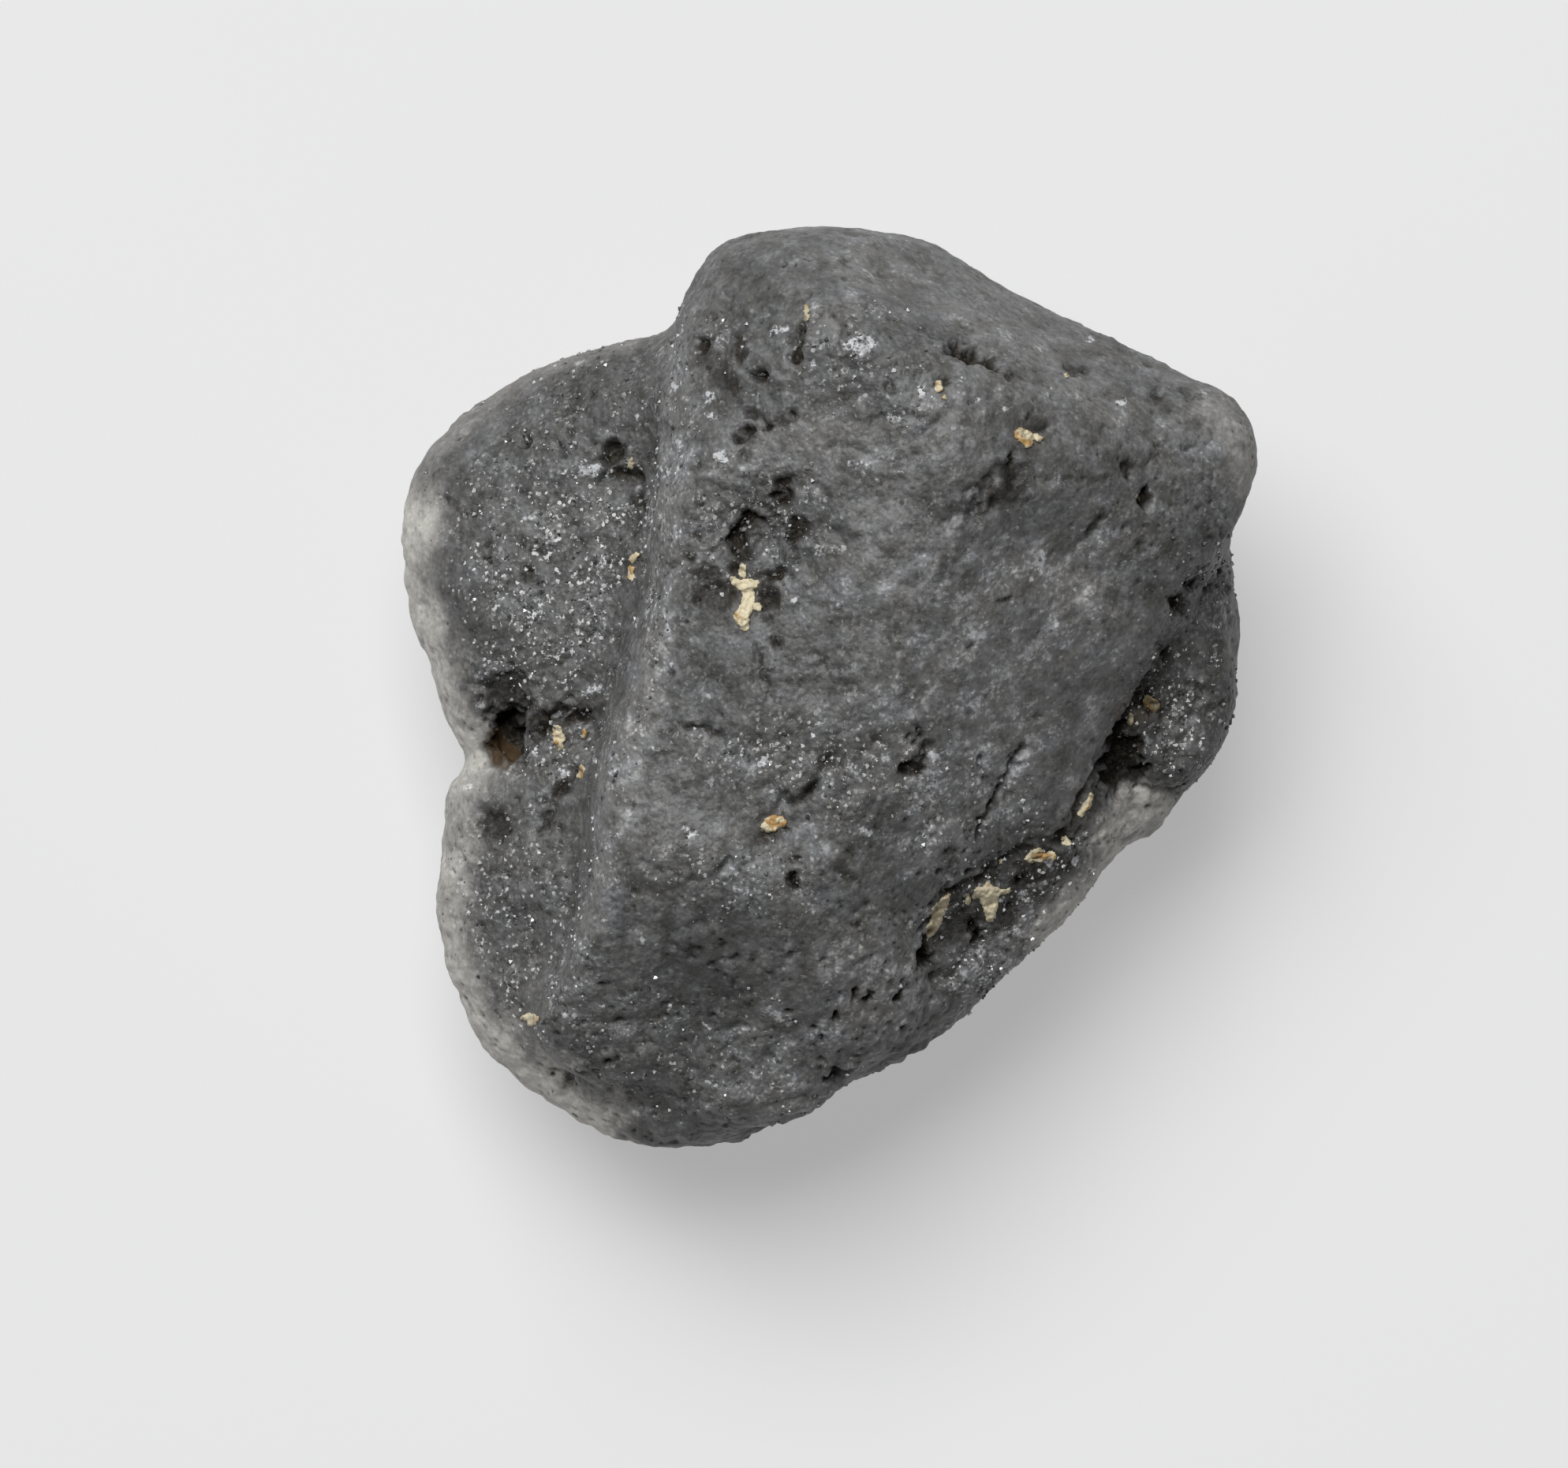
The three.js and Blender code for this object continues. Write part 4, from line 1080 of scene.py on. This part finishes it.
def stone_colour(board, parts):
    """The grey with its tint, its brown stains and its pale rims, painted with the glow of light through
    the thin edges.
    """
    # the cool tint also follows the painted glints
    cool = (parts.patch * 1.6 + parts.shining * 0.5 - parts.broad * 0.6).step(0.2, 0.8)
    tint = board.mixed(cool, WARM_SHADE, COOL_SHADE)
    tinted = board.node("ShaderNodeMix", {"data_type": "RGBA", "blend_type": "MULTIPLY"}, {
        0: 1.0, 6: stone_grey(board, parts), 7: tint}, out=2)
    brown = noisy(parts.stain, parts, STAIN_NOISE).step(0.3, 0.9) * 0.75
    stained = board.mixed(brown, tinted, BROWN)
    # the pale mix is the painted glow of light through the thin rims
    pale = (parts.rim * (noisy(1.0, parts, RIM_NOISE) + parts.small * 0.15)).clamped()
    parts.pale = pale * (1 - parts.hollow * 0.5) * (1 - parts.soot * 0.85) * (1 - parts.stain * 0.9)
    grainy = MIDDLE_RIM_GLOW + parts.crumble + parts.big * 0.10 + parts.small * 0.12
    rim_glow_tone = (noisy(grainy, parts, RIM_GLOW_NOISE) + parts.shining * 0.4).clamped()
    rim_glow_grey = board.node("ShaderNodeValToRGB", {"stops": RIM_GLOW_GREYS}, {"Fac": rim_glow_tone})
    return board.mixed(parts.pale, stained, rim_glow_grey)


print("the palest rim has a tone of", RIM_GLOW_GREYS[-1][1][0])

# %% [markdown]
# ## Three shaders in one finish
#
# Dirt and painted shade are dull and dark, clean felt is a little glossy, and a crystal face shines like
# glass. A gloss map could make a place more or less shiny, but every glint would then point the same way.
# So three shaders are mixed by masks, and the glassy one lives in small cells, each with its normal tilted
# its own way, so that only some of them catch the lamp.

# %% Mix the shaders
DIAMOND_IOR = 2.42
FELT_IOR = 1.55
FELT_DEPTH = 0.016 * MM
FACET_TILT = 1.3
SOOT_AND_SHADE_BLACK = (0.010, 0.0085, 0.006, 1.0)
DUST_AND_SHADE_GREY = (0.050, 0.044, 0.036, 1.0)
UMBER = (0.055, 0.034, 0.016, 1.0)
DARK_GLASS = (0.05, 0.05, 0.05, 1.0)


def felt_bump(board, parts):
    """The normal of the felt: small domes, weaker where the stone is worn or pale."""
    height = ((parts.big_dome * 0.7 + parts.small_dome * 0.6 + parts.fine * 0.35)
              * (1 - 0.3 * parts.worn) * (1 - 0.5 * parts.pale))
    return board.bump(height, FELT_DEPTH)


def facet_normal(board, parts, bump):
    """The bump's normal, leaned a different way in every cell."""
    tilt = board.node("ShaderNodeVectorMath", {"operation": "MULTIPLY_ADD"}, {
        0: parts.cell, 1: (FACET_TILT,) * 3, 2: (-FACET_TILT / 2,) * 3})
    leaning = board.node("ShaderNodeVectorMath", {"operation": "ADD"}, {0: bump, 1: tilt})
    return board.node("ShaderNodeVectorMath", {"operation": "NORMALIZE"}, {0: leaning})


def stone_finish():
    """Grey bort: matt felt, pores darkened with dirt and painted shade, pale rims with a painted glow, and
    glinting cells.
    """
    material, board = new_material("grey_bort")
    parts = stone_parts(board)
    add_masks(parts)
    colour = stone_colour(board, parts)
    bump = felt_bump(board, parts)
    bare = board.solid({
        "Base Color": colour, "Roughness": 0.60 - parts.worn * 0.08, "IOR": FELT_IOR, "Normal": bump})
    # the near-black matt shader stands for dirt and for painted shade in the hollows
    dust_and_shade = board.mixed((parts.fine + parts.small * 0.3).step(0.35, 0.80), SOOT_AND_SHADE_BLACK, DUST_AND_SHADE_GREY)
    grime_and_shade = board.solid({
        "Base Color": board.mixed(parts.stain.step(0.75, 1.05), dust_and_shade, UMBER),
        "Roughness": 0.9, "Specular IOR Level": 0.12, "Normal": bump})
    matt = board.node("ShaderNodeMixShader", {}, {0: parts.soot, 1: bare, 2: grime_and_shade})
    glass = board.solid({
        "Base Color": DARK_GLASS, "Roughness": 0.2, "IOR": DIAMOND_IOR,
        "Normal": facet_normal(board, parts, bump)})
    shine = (parts.cell_green.step(0.60, 0.80) * (0.06 + 0.34 * parts.glitter)
             * (1 - parts.soot * 0.7) * (1 - parts.pale))
    board.show(board.node("ShaderNodeMixShader", {}, {0: shine, 1: matt, 2: glass}))
    return material


skin.materials.append(stone_finish())
stone = placed("stone_surface", skin)
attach(stone, "root")
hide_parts("diamond")
print("stone_surface has", len(skin.polygons), "faces")

# %% [markdown]
# ## Crumbs of clay
#
# Pale clay has dried in some of the pits and in the seam of the ledge. A crumb is a flat cake that
# follows the ground under it. It could be painted on, but a crumb has an edge that stands up and
# throws a thin shadow, so each is a mesh. Its outline is a chain of circles on the grid. Over that,
# a fine net is dropped from the eye onto the stone: its top is lifted, its underside sunk in.

# %% Where the clay is
CLAY = [
    # ochre share, dullness, chain of circles (x, y, radius)
    (0.15, 0.0, [(941.5, 718, 4), (942, 728, 5)]),
    (0.15, 0.0, [(929, 735, 4), (934, 740, 5), (944, 743, 9), (953, 741, 7), (961, 737, 2)]),
    (0.2, 0.0, [(946, 745, 9), (949, 755, 8), (947, 768, 8), (941, 782, 11), (943, 793, 7), (944, 798, 3)]),
    (0.0, 0.1, [(955, 768, 4), (962, 770, 5)]),
    (0.2, 0.3, [(1022, 389, 3), (1023, 398, 4), (1021, 406, 3)]),
    (0.4, 0.0, [(1190, 487, 4), (1190, 494, 5)]), (0.4, 0.2, [(1197, 503, 3), (1199, 505, 2)]),
    (0.45, 0.15, [(1294, 550, 8), (1301, 555, 10), (1304, 562, 6)]),
    (0.3, 0.1, [(1313, 553, 4), (1318, 557, 5)]), (0.3, 0.3, [(1352, 475, 3), (1353, 477, 2)]),
    (0.6, 0.1, [(972, 1049, 7), (980, 1044, 11), (989, 1042, 8)]),
    (0.3, 0.0, [(806, 703, 4), (802, 710, 5)]),
    (0.4, 0.0, [(800, 721, 4), (800, 731, 5), (802, 736, 2)]),
    (0.0, 0.4, [(801, 583, 3), (799, 592, 4)]),
    (0.35, 0.1, [(707, 925, 6), (709, 936, 8), (710, 947, 5)]),
    (0.4, 0.25, [(741, 928, 4), (741, 933, 4)]), (0.4, 0.25, [(738, 974, 4), (735, 983, 4)]),
    (0.2, 0.0, [(670, 1289, 5), (677, 1293, 7), (672, 1298, 4)]),
    (0.5, 0.0, [(664, 1290, 4), (662, 1291, 3)]), (0.7, 0.7, [(1456, 889, 8), (1464, 896, 8)]),
    (0.4, 0.3, [(1434, 908, 4), (1433, 916, 4)]),
    (0.2, 0.1, [(1384, 1008, 3), (1379, 1018, 5), (1371, 1031, 5)]),
    (0.1, 0.0, [(1351, 1066, 6), (1357, 1070, 3)]),
    (0.3, 0.1, [(1303, 1089, 4), (1309, 1081, 4), (1318, 1078, 4)]),
    (0.4, 0.1, [(1305, 1091, 3), (1316, 1091, 3), (1324, 1087, 4), (1333, 1085, 6)]),
    (0.9, 0.5, [(1310, 1085, 4), (1318, 1085, 4)]), (0.1, 0.0, [(1269, 1091, 3.5), (1269, 1093, 2)]),
    (0.0, 0.0, [(1227, 1135, 3), (1227, 1144, 3)]),
    (0.1, 0.0, [(1236, 1136, 4), (1243, 1131, 8), (1252, 1131, 11), (1262, 1132, 8),
                (1270, 1131, 4), (1279, 1129, 3)]),
    (0.1, 0.0, [(1252, 1123, 5), (1254, 1140, 12), (1256, 1152, 9), (1255, 1165, 5)]),
    (0.1, 0.0, [(1203, 1135, 3), (1197, 1143, 7), (1190, 1156, 9), (1185, 1170, 8),
                (1179, 1182, 6), (1176, 1190, 2)]),
    (0.2, 0.3, [(1443, 630, 3), (1444, 632, 2)]),
]
print("crumbs:", len(CLAY))

# %% Drop each crumb onto the stone
NET_STEP = 0.015
CLAY_THICK = 0.07
CLAY_SUNK = 0.05
CLAY_EDGE = 0.05
CLAY_THINNEST = 0.004


def inside_chain(plan, chain):
    """How far each point is inside a chain of circles, in millimetres."""
    deepest = np.full(len(plan), -np.inf)
    for (xa, ya, ra), (xb, yb, rb) in zip(chain, chain[1:]):
        t, away = beside(plan, spot(xa, ya), spot(xb, yb))
        radius = (ra + (rb - ra) * t) / GRID_PER_MM
        deepest = np.maximum(deepest, radius - away)
    return deepest


def ground_under(tree, place):
    """The point of the stone that the eye sees at a place of the plan."""
    eye = Vector((*EYE, EYE_HEIGHT))
    return tree.ray_cast(eye, Vector((*place, READING_HEIGHT)) - eye)[0]


def add_crumb(shape, tree, chain, ochre, dull, layers):
    """Adds one closed cake of clay to the shape. Its feet never go under the table."""
    reach = max(radius for *_, radius in chain) / GRID_PER_MM + 0.05
    places = np.array([spot(x, y) for x, y, _ in chain])
    xs = np.arange(places[:, 0].min() - reach, places[:, 0].max() + reach, NET_STEP)
    ys = np.arange(places[:, 1].min() - reach, places[:, 1].max() + reach, NET_STEP)
    net = np.stack(np.meshgrid(xs, ys, indexing="ij"), axis=-1).reshape(-1, 2)
    solid = np.column_stack([net, np.zeros(len(net))])
    inside = inside_chain(net, chain) + 0.010 + 0.022 * noise_at(solid, 14.0, 2, 40.0)
    inside = inside.reshape(len(xs), len(ys))
    lumps = noise_at(solid, 11.0, 3, 55.0).reshape(inside.shape)
    tops, feet = {}, {}
    for i, j in zip(*np.nonzero(inside > 0)):
        ground = ground_under(tree, (xs[i], ys[j]))
        if ground is None:
            continue
        edge = min(1.0, inside[i, j] / CLAY_EDGE) ** 0.5
        lift = CLAY_THICK * edge * (0.7 + 0.8 * lumps[i, j])
        tops[i, j] = shape.verts.new(ground + Vector((0, 0, max(lift, CLAY_THINNEST))))
        feet[i, j] = shape.verts.new(ground - Vector((0, 0, min(CLAY_SUNK, ground.z))))
        for corner in (tops[i, j], feet[i, j]):
            corner[layers["ochre"]] = ochre
            corner[layers["dull"]] = dull
    made = []
    for i, j in tops:
        ring = [(i, j), (i + 1, j), (i + 1, j + 1), (i, j + 1)]
        if all(key in tops for key in ring):
            made.append(shape.faces.new([tops[key] for key in ring]))
            shape.faces.new([feet[key] for key in reversed(ring)])
    foot_of = {tops[key]: feet[key] for key in tops}
    rim_loops = [loop for face in made for loop in face.loops if loop.edge.is_boundary]
    for loop in rim_loops:
        first, second = loop.vert, loop.link_loop_next.vert
        shape.faces.new([second, first, foot_of[first], foot_of[second]])


def make_clay(ground):
    """All the crumbs as one mesh in millimetres."""
    shape = bmesh.new()
    layers = {name: shape.verts.layers.float.new(name) for name in ("ochre", "dull")}
    for ochre, dull, chain in CLAY:
        add_crumb(shape, ground, chain, ochre, dull, layers)
    loose = [corner for corner in shape.verts if not corner.link_faces]
    bmesh.ops.delete(shape, geom=loose, context="VERTS")
    every_way = {f"use_axis_{axis}": True for axis in "xyz"}
    bmesh.ops.smooth_vert(shape, verts=shape.verts, factor=0.3, **every_way)
    bmesh.ops.scale(shape, verts=shape.verts, vec=(MM,) * 3)
    mesh = bpy.data.meshes.new("clay_crumbs")
    shape.to_mesh(mesh)
    shape.free()
    return mesh


skin_mm = read(skin.vertices, "co", 3) / MM
skin_faces = read(skin.polygons, "vertices", 3, int)
ground = BVHTree.FromPolygons(skin_mm.tolist(), skin_faces.tolist())
clay = make_clay(ground)
print("clay faces:", len(clay.polygons))

# %% The finish of the clay
CREAMS = ((0.42, 0.37, 0.24, 1.0), (0.76, 0.68, 0.50, 1.0))
OCHRE = (0.42, 0.25, 0.09, 1.0)
DULL_CLAY = (0.10, 0.085, 0.05, 1.0)
CLAY_GRAIN = 0.02 * MM


def clay_finish():
    """Dry cream clay with ochre spots."""
    material, board = new_material("dry_clay")
    mm = board.millimetres()
    grain = board.noise(mm, 22.0, 3.0)
    spots = board.noise(mm, 8.0, 2.0)
    ochre = (board.attribute("ochre") + (spots - 0.5) * 3.0).step(0.35, 0.85)
    cream = board.mixed(grain, *CREAMS)
    warm = board.mixed(ochre, cream, OCHRE)
    colour = board.mixed(board.attribute("dull"), warm, DULL_CLAY)
    bump = board.bump(grain, CLAY_GRAIN)
    board.show(board.solid({"Base Color": colour, "Roughness": 0.85, "IOR": 1.4, "Normal": bump}))
    return material


clay.materials.append(clay_finish())
clay.shade_smooth()
clay_crumbs = placed("clay_crumbs", clay)
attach(clay_crumbs, "root")
print("clay_crumbs rides on the stone")

# %% [markdown]
# ## Glinting grains
#
# In sheltered places the surface is a crust of separate small crystals. Each is an octahedron, the
# shape that diamond likes best. There are thousands of them, so they are scattered by a tree of
# Geometry Nodes over the skin, dense where the glitter number is high, each turned and sized by
# chance. The last nodes turn the copies into real faces and give them their finish.

# %% The finish of the grains
GRAIN_GREYS = [(0.0, (0.03, 0.03, 0.03)), (0.5, (0.10, 0.10, 0.10)), (0.8, (0.25, 0.25, 0.255)),
               (1.0, (0.60, 0.60, 0.61))]


def grain_finish():
    """Clear to grey glassy crystal, a little different from grain to grain."""
    material, board = new_material("glassy_grain")
    # grains are made paler where glints are painted
    luck = (board.attribute("luck") + board.attribute("bright").step(0.5, 1.0) * 0.3).clamped()
    colour = board.node("ShaderNodeValToRGB", {"stops": GRAIN_GREYS}, {"Fac": luck})
    board.show(board.solid({"Base Color": colour, "Roughness": 0.35 - luck * 0.15, "IOR": 1.9}))
    return material


print("grain finish is ready")

# %% The tree that scatters the grains


def grain_tree(finish):
    """Geometry nodes that scatter octahedra where the attribute glitter is high."""
    tree = bpy.data.node_groups.new("grain_scatter", "GeometryNodeTree")
    sockets = {}
    for name, kind in (("Skin", "NodeSocketGeometry"), ("Most per square metre", "NodeSocketFloat"),
                       ("Smallest", "NodeSocketFloat"), ("Largest", "NodeSocketFloat")):
        sockets[name] = tree.interface.new_socket(name, in_out="INPUT", socket_type=kind).identifier
    tree.interface.new_socket("Grains", in_out="OUTPUT", socket_type="NodeSocketGeometry")
    board = Board(tree)
    given = board.node("NodeGroupInput").socket.node
    skin_in, most, smallest, largest = [Wire(board, socket) for socket in list(given.outputs)[:4]]

    def chance(low, high, seed, kind="FLOAT", names=(2, 3), out=1):
        values = {names[0]: low, names[1]: high, "Seed": seed}
        return board.node("FunctionNodeRandomValue", {"data_type": kind}, values, out=out)

    glitter, rim, bright = [
        board.node("GeometryNodeInputNamedAttribute", {"data_type": "FLOAT"}, {"Name": name})
        for name in ("glitter", "rim", "bright")]
    clump = board.node("ShaderNodeTexNoise", {}, {"Scale": 2200.0, "Detail": 2.0})
    place = board.node("GeometryNodeInputPosition")
    up = board.node("ShaderNodeSeparateXYZ", {}, {0: place}, out="Z").step(0.5 * MM, 0.9 * MM)
    scattered = glitter * (1 - rim) * clump.step(0.38, 0.62)
    density = (scattered + bright.step(0.75, 1.0) * 1.6) * most * up
    points = board.node("GeometryNodeDistributePointsOnFaces", {"distribute_method": "RANDOM"}, {
        "Mesh": skin_in, "Density": density, "Seed": 4})
    octahedron = board.node("GeometryNodeMeshUVSphere", {}, {"Segments": 4, "Rings": 2, "Radius": 1.0})
    turn = chance((0.0,) * 3, (math.tau,) * 3, 5, "FLOAT_VECTOR", (0, 1), 0)
    size = smallest + (largest - smallest) * chance(0.0, 1.0, 6).math("POWER", 1.9)
    copies = board.node("GeometryNodeInstanceOnPoints", {}, {
        "Points": points, "Instance": octahedron, "Rotation": turn, "Scale": size})
    lucky = board.node("GeometryNodeStoreNamedAttribute", {"data_type": "FLOAT", "domain": "INSTANCE"}, {
        "Geometry": copies, "Name": "luck", "Value": chance(0.0, 1.0, 7)})
    real = board.node("GeometryNodeRealizeInstances", {}, {"Geometry": lucky})
    done = board.node("GeometryNodeSetMaterial", {}, {"Geometry": real, "Material": finish})
    board.node("NodeGroupOutput", {}, {"Grains": done})
    return tree, sockets


print("the tree scatters octahedra over sheltered and shining places")

# %% Scatter the grains
GRAINS = {"Most per square metre": 125e6, "Smallest": 0.011 * MM, "Largest": 0.045 * MM}


def make_grains(skin):
    """Scatters the grains and returns them as a plain mesh."""
    carrier = placed("grain_carrier", skin)
    tree, sockets = grain_tree(grain_finish())
    modifier = carrier.modifiers.new("grains", "NODES")
    modifier.node_group = tree
    for name, value in GRAINS.items():
        modifier[sockets[name]] = value
    mesh = applied(carrier)
    # the first finish is the skin's own, which no grain wears
    mesh.materials.pop(index=0)
    return mesh


grains = make_grains(skin)
glinting_grains = placed("glinting_grains", grains)
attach(glinting_grains, "root")
print("grain faces:", len(grains.polygons), "finish:", [finish.name for finish in grains.materials])
